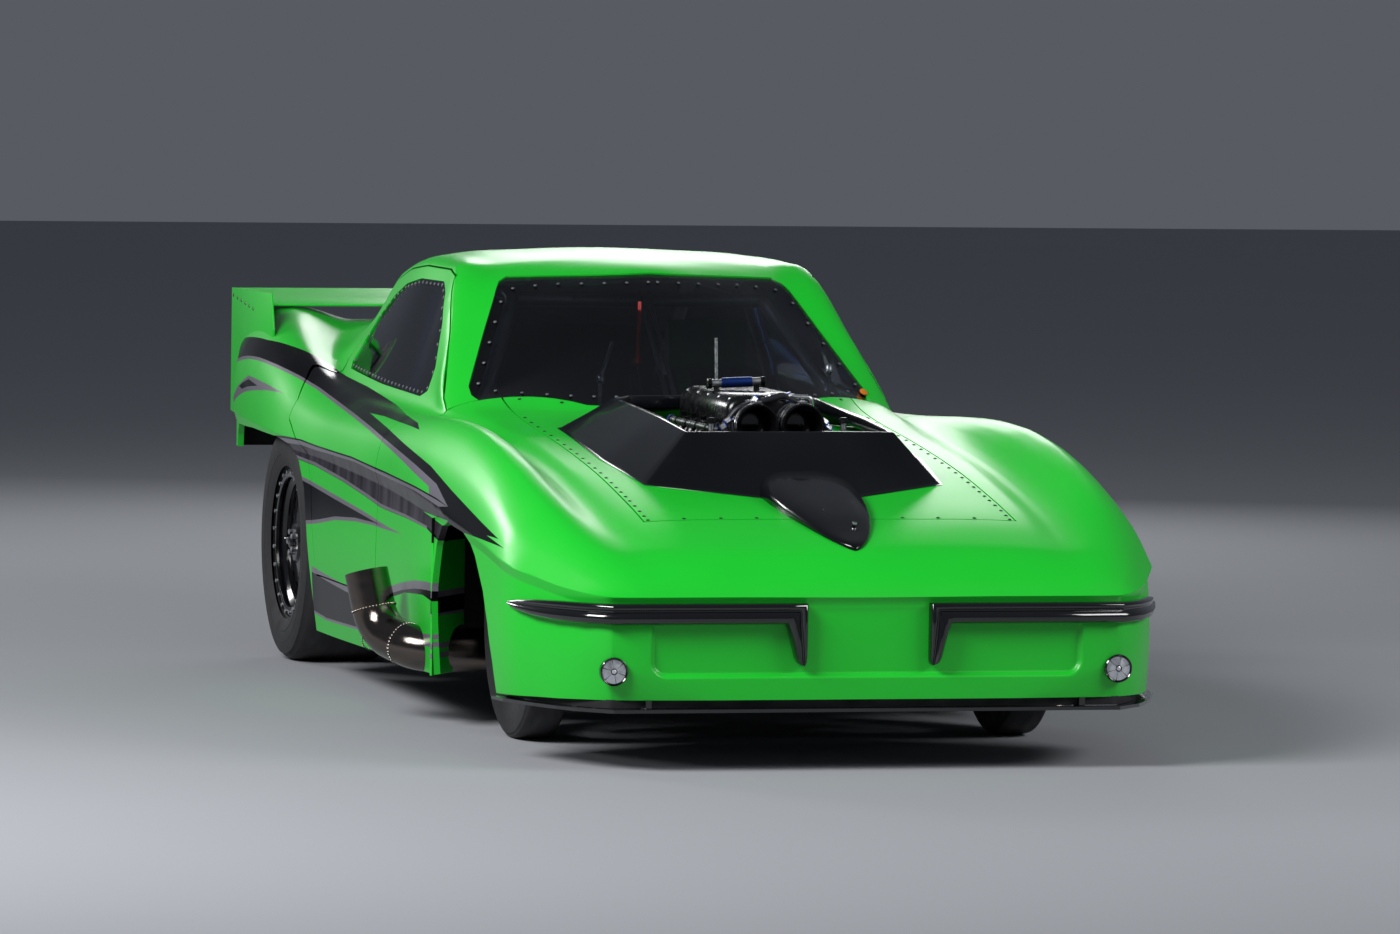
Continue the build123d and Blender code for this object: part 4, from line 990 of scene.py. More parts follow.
blade = Shape()
rings = []
for x, share in BLADE_STOPS:
    way = unit(np.array([12.0, nose_front(x + 6) - nose_front(x - 6)]))
    out = np.array([way[1], -way[0]])
    base = np.array([x, nose_front(x)])
    rings.append([(*(base + out * o * (share if o > 0 else 1)), BLADE_Z + u * share)
                  for o, u in BLADE_SECTION])
blade.rings(rings)
legs = [rings[0]]
for far, near, z, up in BLADE_LEG:
    share = min(1, (far - near) / LEG_WIDTH + 0.25)
    legs.append([(near + (far - near) * (BLADE_TOP - u) / BLADE_TALL,
                  NOSE_Y - o * (share if o > 0 else 1), z + up * u / BLADE_TOP)
                 for o, u in BLADE_SECTION])
blade.rings(legs)
blade.both_sides().finish("bumper_blades_bars", [GLOSS_BLACK], slot="black_gloss",
                          replaces=["bumper_blades"], smooth=40, weld=True)

# Round lamps: a dark ring round a brushed cap of six fields
LAMP = (698, NOSE_Y + 3, 270)
FIELDS = 6
FIELD_TURN, FIELD_GAP = 0.36, 0.06
forwards = (0, -1, 0)
lamps = Shape().spin([(-8, 38), (7, 38), (10, 35.5), (8, 33.5), (3, 33)], LAMP, forwards, 0, 40)
lamps.spin([(0, 33), (3, 33), (3, 1)], LAMP, forwards, 0, 40)
for k in range(FIELDS):
    share = 2 * math.pi / FIELDS
    arc = [k * share + FIELD_TURN + (share - FIELD_GAP) * i / 6 for i in range(7)]
    ring = [(9 * math.cos(a), 9 * math.sin(a), 6) for a in arc]
    ring += [(32 * math.cos(a), 32 * math.sin(a), 4) for a in arc[::-1]]
    lamps.rings([[(LAMP[0] + a, LAMP[1] - b * up, LAMP[2] + c) for a, c, b in ring]
                 for up in (0, 1.4)], 1)
lamps.spin([(2, 7), (8, 6), (9, 4)], LAMP, forwards, 1, 20)
lamps.both_sides().finish("front_lamps_caps", [GLOSS_BLACK, LAMP_METAL], slot="lamp_lens",
                          replaces=["front_lamps"], smooth=30)

# Black skirt that closes the gap between the nose and the splitter, and painted shade: its black
# stands for the shadow under the nose
CHIN_SHADE_Z = (170, 193)
CHIN_SHADE_BACK = 20
foot = [p[-1] for p in body_grid(stations(NOSE_Y, -560, 40))]
outline = [(0, NOSE_Y + CHIN_SHADE_BACK)]
outline += [(p[0] - CHIN_SHADE_BACK, max(p[1], NOSE_Y + CHIN_SHADE_BACK + 4)) for p in foot]
inner = [(max(0, a - 3), b + 3) for a, b in outline]
low, high = CHIN_SHADE_Z
chin_shade = Shape().rings([[(a, b, z) for a, b in path] for path, z in
                       ((outline, low), (outline, high), (inner, high), (inner, low))],
                      closed=False, caps=False)
chin_shade.both_sides().finish("splitter_chin_shade", [PANEL_BLACK], smooth=30)

# Tyres: slicks with a rounded wall, and rims with round windows
TYRES = {"front": dict(r=312, w=120, bead=198, x=690, y=0),
         "rear": dict(r=358, w=312, bead=212, x=702, y=WHEELBASE)}
TREAD_SHARE, SEAT_SHARE = 0.86, 0.80
BORDER_STEPS, RIM_DEEP = (3, 6, 6, 6, 3), 9
RIMS = {"front": dict(face=22, windows=12, hole=21, ring=130, hub=48, bolts=0),
        "rear": dict(face=96, windows=15, hole=20, ring=150, hub=62, bolts=24)}


def tyre_section(r, half, bead):
    """Half the section of a slick from its bead to the middle of its tread."""
    seat, tread, wall = SEAT_SHARE * half, TREAD_SHARE * half, r - bead
    return [(seat * 0.86, bead - 4), (seat, bead - 3), (seat + 4, bead + 5),
            (seat + 0.55 * (half - seat), bead + 0.14 * wall), (half * 0.985, bead + 0.36 * wall),
            (half, bead + 0.55 * wall), (half * 0.985, bead + 0.74 * wall),
            (half * 0.955, bead + 0.87 * wall), (tread * 1.05, r - 0.04 * r),
            (tread * 1.01, r - 0.02 * r), (tread * 0.94, r - 0.009 * r),
            (tread * 0.8, r - 0.003 * r), (tread * 0.4, r - 0.0005 * r), (0, r)]


def around(centre, out, radius, turn):
    """The point at a turn round an axle through centre, out along the axle."""
    return (centre[0] + out, centre[1] + radius * math.cos(turn),
            centre[2] + radius * math.sin(turn))


for end, tyre in TYRES.items():
    rim = RIMS[end]
    half, r, bead = tyre["w"] / 2, tyre["r"], tyre["bead"]
    centre = (tyre["x"], tyre["y"], r)
    section = tyre_section(r, half, bead)
    worn = [p for p in section if p[0] < TREAD_SHARE * half * 1.03]
    walls = [p for p in section if p[0] > TREAD_SHARE * half]
    lining = [(0.0, r - 14), (half * 0.8, r - 24), (half * 0.86, bead + 0.5 * (r - bead)),
              (SEAT_SHARE * half * 0.82, bead + 6), (SEAT_SHARE * half * 0.84, bead - 2)]
    slick = Shape()
    slick.spin(worn + [(-a, b) for a, b in worn[-2::-1]], centre, slot=1, sides=96, caps=False)
    for way in (-1, 1):
        profiles = [walls, lining]
        for share, sunk in ((0.62, 0), (0.40, 0.6)):
            rib, face = bead + share * (r - bead), half - sunk
            profiles.append([(face * 0.985, rib - 3), (face - 0.4, rib - 1.5),
                             (face - 0.4, rib + 1.5), (face * 0.985, rib + 3)])
        for profile in profiles:
            slick.spin([(way * a, b) for a, b in profile], centre, sides=96, caps=False)
    seat = SEAT_SHARE * half
    face = rim["face"]
    wheel = Shape()
    barrel = [(seat + 3, bead + 9), (seat + 4, bead + 4), (seat - 2, bead - 1),
              (seat - 9, bead - 6), (seat - 20, bead - 20), (0, bead - 26), (-seat + 20, bead - 20),
              (-seat + 9, bead - 6), (-seat + 2, bead - 1), (-seat - 4, bead + 4),
              (-seat - 3, bead + 9), (-seat - 1, bead + 3), (-seat + 10, bead - 12),
              (-seat + 22, bead - 26), (0, bead - 32), (seat - 22, bead - 26),
              (seat - 10, bead - 12), (seat - 1, bead + 3)]
    wheel.spin([(a * 0.999, b) for a, b in barrel], centre, sides=72, closed=True)
    inner, outer_r, n = rim["hub"], bead - 30, rim["windows"]
    dish = [(inner, 14), (rim["ring"] - 34, 4), (rim["ring"], 0), (outer_r, -5)]
    step = math.pi / n
    hole = [(rim["ring"] + rim["hole"] * math.cos(a), rim["hole"] * math.sin(a) / rim["ring"])
            for a in np.linspace(0, 2 * math.pi, sum(BORDER_STEPS), endpoint=False)]
    corners = [(outer_r, 0), (outer_r, step), (inner, step), (inner, -step), (outer_r, -step),
               (outer_r, 0)]
    border = []
    for (r0, a0), (r1, a1), count in zip(corners, corners[1:], BORDER_STEPS):
        border += [(r0 + (r1 - r0) * i / count, a0 + (a1 - a0) * i / count) for i in range(count)]
    for k in range(n):
        turn = 2 * math.pi * k / n
        loops = ((border, 0), (hole, 0), (hole, RIM_DEEP), (border, RIM_DEEP))
        wheel.rings([[around(centre, face + float(smoothly(dish, q)) - back, q, turn + a)
                      for q, a in loop] for loop, back in loops], caps=False)
    wheel.spin([(face - 14, inner + 1), (face + 14, inner + 1), (face + 22, inner - 6),
                (face + 24, inner - 16), (face + 24, 22), (face + 34, 20), (face + 38, 14),
                (face + 38, 1)], centre)
    bolts = Shape()
    for k in range(5):
        bolts.spin([(0, 9), (16, 9), (18, 7), (18, 1)],
                   around(centre, face + 20, 33, 2 * math.pi * k / 5), slot=1, sides=6)
    if rim["bolts"]:
        edge_at = seat + 4
        wheel.spin([(edge_at - 4, bead + 14), (edge_at + 3, bead + 14), (edge_at + 5, bead + 11),
                    (edge_at + 5, bead - 10), (edge_at + 3, bead - 13), (edge_at - 4, bead - 13)],
                   centre, sides=72, closed=True)
        for k in range(rim["bolts"]):
            turn = 2 * math.pi * (k + 0.5) / rim["bolts"]
            bolts.spin([(0, 6.5), (5, 6.5), (6.5, 5), (6.5, 1)],
                       around(centre, edge_at + 4, bead + 2, turn), slot=1, sides=6)
    bolts.spin([(0, 3), (16, 3), (18, 2), (18, 0.5)], around(centre, face - 2, bead - 42, 0),
               slot=1, sides=10)
    for side in ("left", "right"):
        if side == "right":
            for shape in (slick, wheel, bolts):
                shape.mirrored()
        rides = f"wheel_{end}_{side}"
        slick.finish(f"tyre_{end}_{side}_slick", [RUBBER, RUBBER_WORN], rides, "tyre_rubber",
                     [f"tyre_{end}_{side}"], smooth=40, weld=True)
        wheel.finish(f"rim_{end}_{side}_wheel", [WHEEL_BLACK], rides, "black_wheel",
                     [f"rim_{end}_{side}"], smooth=35, weld=True)
        bolts.finish(f"rim_{end}_{side}_bolts", [WHEEL_BLACK, STEEL], rides, smooth=35)

# Engine: plenum with its runners, and throttle bodies
PLENUM = dict(half=130, low=780, top=945, upper_round=45, lower_round=20)
PLENUM_ROWS = ((20, 0.9), (26, 0.96), (40, 1.0), (250, 1.0), (540, 1.0), (554, 0.96), (560, 0.9))
RUNNERS_AT = (120, 230, 340, 450)
INLET = dict(x=66, z=868, front=-75)
plenum = Shape()
rings = []
for y, share in PLENUM_ROWS:
    ring = []
    half, low = PLENUM["half"] * share, PLENUM["low"]
    high = low + (PLENUM["top"] - low) * share
    big, small = PLENUM["upper_round"], PLENUM["lower_round"]
    for cx, cz, size, start in ((half - big, high - big, big, 0),
                                (-half + big, high - big, big, 90),
                                (-half + small, low + small, small, 180),
                                (half - small, low + small, small, 270)):
        for i in range(7):
            a = math.radians(start + 15 * i)
            ring.append((cx + size * math.cos(a), y, cz + size * math.sin(a)))
    rings.append(ring)
plenum.rings(rings)
for x in (-104, 104):
    plenum.rod([(x, 60, 790), (x, 520, 790)], 17, 0, 16)
for y in RUNNERS_AT:
    for x in (118, -118):
        plenum.rod(bend([(x * 0.9, y, 850), (x * 1.25, y, 830), (x * 1.32, y, 700),
                         (x * 1.15, y, 640)], 34, 5), 24, 0, 14)
plenum.finish("intake_plenum", [ALLOY_BLACK], slot="black_alloy", replaces=["intake_manifold"],
              smooth=40)

bodies = Shape()
backwards = (0, 1, 0)
for x in (-INLET["x"], INLET["x"]):
    place = (x, INLET["front"], INLET["z"])
    bodies.spin([(0, 56), (0, 61), (3, 61.5), (6, 60), (9, 55), (14, 54), (20, 57), (26, 54),
                 (32, 57), (38, 54), (44, 58), (50, 59), (95, 59), (95, 49), (48, 48), (14, 49),
                 (5, 52)], place, backwards, 0, 48, closed=True)
    bodies.spin([(70, 48.5), (66, 44), (60, 30), (57, 14), (56, 1)], place, backwards, 2, 40)
    for start, wide in ((16, 7), (46, 9), (78, 9)):
        bodies.spin([(start, 57), (start + 0.5, 61.4), (start + wide - 0.5, 61.4),
                     (start + wide, 57)], place, backwards, 1, 48, caps=False)
        band = INLET["front"] + start
        bodies.block((x - 9, band - 1, INLET["z"] + 58),
                     (x + 9, band + wide + 1, INLET["z"] + 67), 1)
        bodies.rod([(x + side, band + wide / 2, INLET["z"] + 64) for side in (-14, 15)], 3, 1, 8)
    bodies.rod([(x - 54, 2, INLET["z"]), (x + 54, 2, INLET["z"])], 4, 1, 10)
    for a in range(12):
        angle = math.radians(30 * a + 8)
        spot = (x + 57 * math.cos(angle), INLET["front"] + 54, INLET["z"] + 57 * math.sin(angle))
        bodies.spin([(-3, 3.4), (0, 3.4), (1, 2)], spot, forwards, 1, 6)
bodies.finish("throttle_inlets", [ALLOY_BLACK, STEEL, GLOSS_BLACK], slot="black_alloy",
              replaces=["throttle_bodies"], smooth=38)

# Fuel rails, injectors, lines and braces over the intake
RAIL = dict(x=156, z=850)
NUT = [(0, 16), (10, 16), (12, 13)]
upwards = (0, 0, 1)
fittings = Shape()
for x in (-1, 1):
    rail_x = x * RAIL["x"]
    fittings.rod([(rail_x, 60, RAIL["z"]), (rail_x, 520, RAIL["z"])], 10, 0, 14)
    for y in RUNNERS_AT:
        fittings.rod([(rail_x, y, RAIL["z"]), (x * 148, y, 818)], 8, 1, 10)
        fittings.rod([(x * 148, y, 818), (x * 141, y, 792)], [10, 7], 0, 10)
        fittings.spin([(-6, 13), (6, 13)], (rail_x, y, RAIL["z"]), backwards, 1, 6)
        fittings.block((x * 143 - 7, y - 11, 866), (x * 143 + 7, y + 11, 878), 1)
    for y in (52, 528):
        fittings.spin([(-9, 14), (9, 14)], (rail_x, y, RAIL["z"]), backwards, 2, 6)
        fittings.spin([(-14, 11), (14, 11)], (rail_x, y, RAIL["z"]), backwards, 1, 12)
    for k in range(5):
        fittings.spin([(0, 7), (6, 7), (8, 5)], (x * 108, 60 + 115 * k, PLENUM["top"] - 14),
                      (x * 0.6, 0, 0.8), 0, 6)
fittings.rod(bend([(156, 52, 850), (156, -12, 850), (110, -30, 905), (20, -22, 950),
                   (-110, -24, 912), (-156, -12, 850), (-156, 52, 850)], 32, 6), 9, 3, 14)
for x, z in ((150, 858), (138, 874), (-150, 858), (-136, 876), (36, 944), (-60, 934)):
    turned = unit(np.array([x, 0, -90.0]))
    fittings.spin([(-8, 12), (8, 12)], (x, -20, z), turned, 0, 6)
    fittings.spin([(-12, 10.5), (12, 10.5)], (x, -20, z), turned, 2, 14)
for x in (-190, 190):
    fittings.rod([(x, -40, 760), (x, -40, 872)], 8, 0, 12)
    fittings.spin([(0, 13), (12, 13), (16, 9), (16, 1)], (x, -40, 872), upwards, 1, 6)
    fittings.rod(bend([(x, -40, 780), (x * 0.75, -40, 800), (x * 0.66, 30, 800)], 20, 5), 7, 3, 10)
fittings.rod([(-95, 330, 962), (42, 300, 970)], 12, 0, 16)
fittings.rod([(-66, 324, 964), (18, 305, 969)], 14.5, 2, 16)
for place, way in (((-95, 330, 962), (-1, 0, 0)), ((42, 300, 970), (1, 0, 0))):
    fittings.spin(NUT, place, way, 1, 6)
for x, y, z in ((-80, 326, 962), (30, 303, 970)):
    fittings.rod([(x, y, 930), (x, y, z)], 8, 1, 10)
fittings.rod([(-50, 440, 944), (-52, 446, 1085)], 5, 0, 10)
fittings.spin([(0, 9), (14, 9), (16, 6)], (-50, 440, 944), upwards, 1, 6)
fittings.finish("engine_fittings", [STEEL, ALLOY_BLACK, BLUE_ANODISED, DARK_STEEL], smooth=38)

# A bright steel bar on the plenum's front edge, a painted highlight for the light that edge
# catches, and the bolts of the cylinder covers
highlight_path = [(112, 24, 900), (112, 14, 941), (-14, 12, 947), (-14, 20, 940)]
Shape().rod(bend(highlight_path, 14, 5), 7, 0, 12).finish("plenum_edge_highlight", [STEEL], smooth=40)

covers = Shape()
for side in (-1, 1):
    for k in range(8):
        y = 30 + 74 * k
        covers.spin([(0, 7.5), (7, 7.5), (9, 5)], (side * 300, y, 596), (side * 0.7, 0, 0.7), 0, 6)
covers.finish("cover_bolts", [STEEL], smooth=35)

# Wheelie wheels
small = Shape()
for place in ((-90, 3980, 112), (90, 3980, 112)):
    small.spin([(-13, 40), (-22, 42), (-22, 55), (-18, 61), (-9, 62), (9, 62), (18, 61), (22, 55),
                (22, 42), (13, 40)], place, (1, 0, 0), 0, 48, closed=True)
    small.spin([(-20, 41), (-20, 36), (-6, 32), (-6, 18), (-18, 17), (-18, 9), (18, 9), (18, 17),
                (6, 18), (6, 32), (20, 36), (20, 41)], place, (1, 0, 0), 1, 40, closed=True)
    small.spin([(-22, 8), (22, 8)], place, (1, 0, 0), 2, 20)
small.finish("wheelie_wheels_small", [RUBBER, WHEEL_BLACK, STEEL], "wheelie_wheels",
             "small_wheel_plastic", ["wheelie_wheels"], smooth=38)

# Rear spoiler: a blade between two end plates with their graphics
PLATE = dict(x=800, thick=6)
PLATE_EDGE = [(2960, 985), (3000, 1096), (3610, 1088), (3610, 700), (3470, 690), (3200, 720),
              (3000, 800)]
for side in ("left", "right"):
    sheet = bmesh.new()
    corners = [sheet.verts.new((PLATE["x"] + PLATE["thick"], y, z)) for y, z in PLATE_EDGE]
    sheet.faces.new(corners)
    paint(sheet, PLATE_GRAPHICS, "side", 0)
    whole = np.ones(len(sheet.faces), bool)
    bmesh.ops.recalc_face_normals(sheet, faces=sheet.faces[:])
    if sheet.faces[:][0].normal.x < 0:
        bmesh.ops.reverse_faces(sheet, faces=sheet.faces[:])
    placed(f"rear_spoiler_plate_{side}", half_mesh(sheet, whole, "plate", side), PAINTS,
           replaces=["rear_spoiler"], wall=PLATE["thick"], bevel=1)

WING = [(3230, 1050), (3236, 1053), (3420, 1070), (3596, 1086), (3604, 1088), (3609, 1086),
        (3609, 1076), (3604, 1074), (3601, 1080), (3420, 1064), (3238, 1047), (3231, 1047)]
WING_HALF = 799
ANGLE_STRIP = [(3250, 1044), (3590, 1076), (3590, 1052), (3250, 1022)]
wing = Shape().slab(WING, (-WING_HALF, WING_HALF))
for way in (-1, 1):
    wing.slab(ANGLE_STRIP, (way * WING_HALF, way * (WING_HALF - 3)), 1)
for y in range(3270, 3600, 62):
    for way in (-1, 1):
        wing.spin([(0, 6), (1.2, 5.4), (2, 3)], (way * 806, y, 1036 + (y - 3270) * 0.095),
                  (way, 0, 0), 1, 10)
wing.finish("rear_spoiler_blade", [GREEN, ALLOY_BLACK], slot="green_paint", smooth=30)

# The wall behind each front wheel, with its stripes and the exhaust's hole
WALL_LINE = [(903, 264), (858, 323), (815, 382), (772, 440)]
WALL_ROWS = (590, 480, 370, 260, 150)
PIPE_HOLE = dict(y=425, z=209, radius=71)
wall_mesh = grid_mesh(np.array([[(x, y, z) for x, y in WALL_LINE] for z in WALL_ROWS]))
pipe_edge = [(PIPE_HOLE["y"] + PIPE_HOLE["radius"] * math.cos(a),
              PIPE_HOLE["z"] + PIPE_HOLE["radius"] * math.sin(a))
             for a in np.linspace(0, 2 * math.pi, 24, endpoint=False)]
cut(wall_mesh, pipe_edge, "side", 0)
for _, low, high in WALL_STRIPES:
    for level_z in (low, high):
        cut(wall_mesh, [(100, level_z), (600, level_z)], "side", 0, closed=False, margin=200)
spots = middles(wall_mesh)
for material, low, high in WALL_STRIPES:
    for f, spot in zip(wall_mesh.faces, spots):
        if low < spot[2] < high:
            f.material_index = material
keep = ~inside(pipe_edge, spots[:, 1], spots[:, 2])
placed("front_clip_arch_wall", half_mesh(wall_mesh, keep, "arch_wall", "both"), PAINTS,
       wall=6)


# Screws and rivets, each a low dome lying on the skin
def along(outline, step, closed=True):
    """Points a step apart along an outline."""
    pts = np.array(outline + outline[:1] if closed else outline, float)
    run = np.concatenate([[0], np.cumsum(np.linalg.norm(np.diff(pts, axis=0), axis=1))])
    count = max(2, round(run[-1] / step))
    at = np.linspace(0, run[-1], count + 1)[:-1] if closed else np.linspace(0, run[-1], count)
    return [(float(np.interp(d, run, pts[:, 0])), float(np.interp(d, run, pts[:, 1]))) for d in at]


DOME_HIGH = 2.2


def domes(shape, spots, view, radius=3.8):
    """Add a washer with a dome at each spot that the view sees."""
    profile = [(-0.5, radius * 1.45), (0.5, radius * 1.4), (0.7, radius),
               (DOME_HIGH * 0.8, radius * 0.8), (DOME_HIGH, radius * 0.35)]
    for a, b in spots:
        where, normal = on_body(a, b, view)
        shape.spin(profile, tuple(where), tuple(normal), 0, 10)
    return shape


rivets = Shape()
hood_row = [(x, HOOD_FRONT + 13) for x in (107, 205, 305, 408, 508)]
side_row = [(HOOD_HALF - 13, y)
            for y in (-560, -511, -455, -400, -352, -300, -246, -190, -130, -66, 0, 70, 140, 212,
                      286, 360, 440, 520, 600, 680, 760, 840)]
back_row = [(x, float(clip_edge(x)) - 20) for x in (60, 160, 260, 370, 480)]
domes(rivets, hood_row + side_row + back_row, "top", 4.2)
rivets.both_sides().finish("hood_rivets", [DARK_STEEL], smooth=50)

screws = Shape()
screen_edge = along([(14, 888), (300, 890), (575, 900), (424, 1176), (300, 1194), (14, 1204)], 62,
                    closed=False)
domes(screws, screen_edge, "front")
domes(screws, along(grown(REAR_PANE, -11), 75), "top")
screws.both_sides().finish("window_screws", [ALLOY_GREY], smooth=50)
spear_screws = Shape()
for x, y, z in ((-34, -640, 668), (30, -742, 641), (-72, -560, 668), (60, -640, 662)):
    spear_screws.spin([(-3, 7), (1.4, 7), (2.2, 5), (1.0, 3), (1.0, 0.5)], (x, y, z + 4),
                      unit(np.array([x * 0.004, -0.22, 1.0])), 0, 14)
spear_screws.finish("spear_screws", [STEEL], smooth=40)
for side in ("left", "right"):
    buttons = domes(Shape(), along(grown(SIDE_WINDOW, -11), 46), "side")
    if side == "right":
        buttons.mirrored()
    buttons.finish(f"door_{side}_window_screws", [ALLOY_GREY], f"door_{side}", smooth=50)

# Weld beads round the exhausts
BEAD_RADIUS = 62.5
BEADS = [((931, 483, 221), (0.455, 0.857, 0.241)), ((975, 585, 243), (0.30, 0.76, 0.58)),
         ((996, 598, 312), (0.18, 0.21, 0.96))]
beads = Shape()
for place, way in BEADS:
    for step in circle(way, unit(np.cross(way, upwards)), 40):
        beads.spin([(-3.5, 0.8), (-1.5, 2.2), (1.5, 2.2), (3.5, 0.8)],
                   np.array(place) + BEAD_RADIUS * step, way, 0, 6)

# Tail lamps: a bezel and a ribbed lens each
lights = Shape()
for x in (-620, -440, 440, 620):
    place = (x, TAIL_Y, 800)
    lights.spin([(0, 55), (12, 55), (16, 51), (14, 47), (8, 46)], place, backwards, 1, 48)
    lights.spin([(8, 46), (10, 45), (12.5, 36), (14.5, 20), (15, 1)], place, backwards, 0, 48)
    for ring in (14, 26, 38):
        high = 15.6 - ring * 0.05
        lights.spin([(11, ring - 2), (high, ring - 1), (high, ring + 1), (11, ring + 2)],
                    place, backwards, 0, 40, caps=False)
lights.finish("tail_lamps_lenses", [RED_LENS, GLOSS_BLACK], slot="tail_lamp_red",
              replaces=["tail_lamps"], smooth=35)


# Seat with its pads, belts and head panel
CELL, PRESSURE, CLOTH_FRAMES = 0.008, 4, 20


def stuffed(name, shape, material, replaces=(), swell=12):
    """A stuffed piece: the shape is remeshed, swells as cloth, and is held within swell."""
    piece = shape.finish(name, [material], smooth=0)
    modify(piece, "REMESH", mode="VOXEL", voxel_size=CELL)
    bake(piece)
    start = [v.co.copy() for v in piece.data.vertices]
    cloth = piece.modifiers.new("cloth", "CLOTH")
    cloth.settings.use_pressure = True
    cloth.settings.uniform_pressure_force = PRESSURE
    cloth.settings.effector_weights.gravity = 0
    for number in range(1, CLOTH_FRAMES + 1):
        bpy.context.scene.frame_set(number)
    bake(piece)
    bpy.context.scene.frame_set(1)
    for v, first in zip(piece.data.vertices, start):
        move = v.co - first
        if move.length > swell / 1000:
            v.co = first + move.normalized() * (swell / 1000)
    modify(piece, "SUBSURF", levels=1)
    bake(piece)
    piece.data.materials.clear()
    piece.data.materials.append(material)
    piece.data.shade_smooth()
    if replaces:
        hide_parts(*replaces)


SEAT_X = 300
SEAT_BACK = [(1480, 154), (1960, 154), (1984, 898), (1950, 900), (1912, 430), (1880, 396),
             (1500, 312), (1472, 298)]
SEAT_WING = [(1480, 154), (1960, 154), (1984, 898), (1900, 902), (1822, 640), (1740, 470),
             (1500, 372), (1468, 300)]
CUSHION = [(1508, 322), (1856, 398), (1862, 410), (1850, 404), (1506, 330)]
BACK_PAD = [(1898, 440), (1938, 880), (1930, 882), (1888, 440)]
shell = Shape().slab(SEAT_BACK, (104, 496))
for x in (78, 498):
    shell.slab(SEAT_WING, (x, x + 24))
shell.finish("seat_shell", [CARBON], slot="black_fabric", replaces=["seat"], smooth=30, bevel=6)
stuffed("seat_cushion", Shape().slab(CUSHION, (118, 482)), SEAT_CLOTH)
stuffed("seat_back_pad", Shape().slab(BACK_PAD, (122, 478)), SEAT_CLOTH)

belts = Shape()
for x0, x1 in ((238, 262), (362, 338)):
    path = [(x0, 2010, 930), (x0, 1950, 912), (x0, 1916, 880), (x0 + (x1 - x0) * 0.4, 1892, 700),
            (x1, 1866, 520), (x1, 1812, 436), (x1, 1700, 412)]
    belts.rings([[(x - 22, y - 3, z), (x + 22, y - 3, z), (x + 22, y, z + 2), (x - 22, y, z + 2)]
                 for x, y, z in path])
for way in (-1, 1):
    path = [(SEAT_X + way * out, y, z) for out, y, z in
            ((172, 1850, 420), (150, 1800, 440), (90, 1730, 432), (24, 1700, 424))]
    belts.rings([[(x, y - 20, z - 3), (x, y + 20, z + 5), (x, y + 20, z + 8), (x, y - 20, z)]
                 for x, y, z in path])
belts.block((272, 1676, 418), (328, 1724, 436), 1)
for x in (250, 350):
    belts.block((x - 26, 1880, 640), (x + 26, 1886, 672), 1)
belts.finish("seat_belts", [BELT_CLOTH, STEEL], smooth=30)

HEAD_PANEL = [(1945, 925), (1950, 1040), (1956, 1068), (1966, 1068), (1960, 1040), (1957, 925)]
HEAD_HALF, HEAD_CURVE = 118, 60
rows = [[(SEAT_X + HEAD_HALF * t, y - HEAD_CURVE * t * t, z) for y, z in HEAD_PANEL]
        for t in np.linspace(-1, 1, 13)]
HEAD_GREEN = finish("head_green", (16, 120, 44), 0.4, scale=20.0)
Shape().rings(rows).finish("seat_head_panel", [HEAD_GREEN], smooth=40, bevel=2)

# Parachute packs and their straps
PACK_X = 170
PACK_LOW, PACK_HIGH = (-116, 3356, 366), (116, 3604, 560)
STRAP = [((-127, 366), (-124, 366)), ((-127, 560), (-124, 558)), ((-108, 573), (-108, 570))]
STRAP += [((-a, b), (-c, d)) for (a, b), (c, d) in STRAP[::-1]]
STRAP_HALF = 12
for x in (-PACK_X, PACK_X):
    side = "left" if x > 0 else "right"
    bag = Shape().block(*[(x + a, b, c) for a, b, c in (PACK_LOW, PACK_HIGH)])
    stuffed(f"parachute_pack_{side}", bag, PACK_CLOTH, ["parachute_packs"],
            swell=9)
    straps = Shape()
    for y in (3400, 3480, 3560):
        front, back = y - STRAP_HALF, y + STRAP_HALF
        straps.rings([[(x + a, front, b), (x + a, back, b), (x + c, back, d), (x + c, front, d)]
                      for (a, b), (c, d) in STRAP])
    straps.block((x - 24, 3460, 569), (x + 24, 3500, 575), 1)
    straps.finish(f"parachute_straps_{side}", [BELT_CLOTH, STEEL], smooth=30)

# Cabin fittings seen through the windshield
cabin = Shape()
cabin.rod([(-62, 1290, 1150), (-66, 1290, 985)], 6, 2, 12)
cabin.spin([(0, 11), (6, 15), (16, 15), (22, 9), (24, 3)], (-66, 1290, 962), upwards, 2, 20)
cabin.rod([(-66, 1290, 962), (-60, 1260, 860), (-60, 1250, 775)], 6, 1, 12)
for x in (0, 26):
    cabin.rod([(x, 1540, 1165), (x + 10, 1130, 775)], 7, 0, 12)
cabin.rod([(500, 1500, 1090), (488, 1200, 960), (484, 1190, 775)], 7, 0, 12)
cabin.rod([(-148, 1270, 1030), (-200, 1200, 925), (-205, 1190, 775)], 6, 0, 12)
for x, y, z in ((488, 1200, 960), (-200, 1200, 925), (8, 1170, 810), (34, 1170, 810)):
    cabin.spin([(-12, 10), (-8, 12), (8, 12), (12, 10)], (x, y, z), (0, 0.3, 0.95), 0, 16)
cabin.block((170, 1170, 775), (430, 1250, 830), 1)
for x in (215, 300, 385):
    cabin.spin([(0, 30), (6, 30), (8, 27), (3, 25), (3, 1)], (x, 1250, 806), (0, 1, 0.1), 0, 32)
cabin.block((-420, 1180, 640), (-200, 1240, 700), 1)
for x in (-400, -360, -320, -280, -240):
    cabin.rod([(x, 1258, 690), (x, 1280, 700)], [4, 2.5], 0, 8)
cabin.finish("cabin_fittings", [CAGE_SILVER, PANEL_BLACK, RED_TRIM], smooth=38, bevel=1)
marker = Shape()
where, normal = on_body(586, 893, "front")
marker.spin([(-1, 13), (3, 13), (5, 9), (5.5, 1)], tuple(where), tuple(normal), 0, 20)
marker.finish("screen_marker", [AMBER], smooth=40)

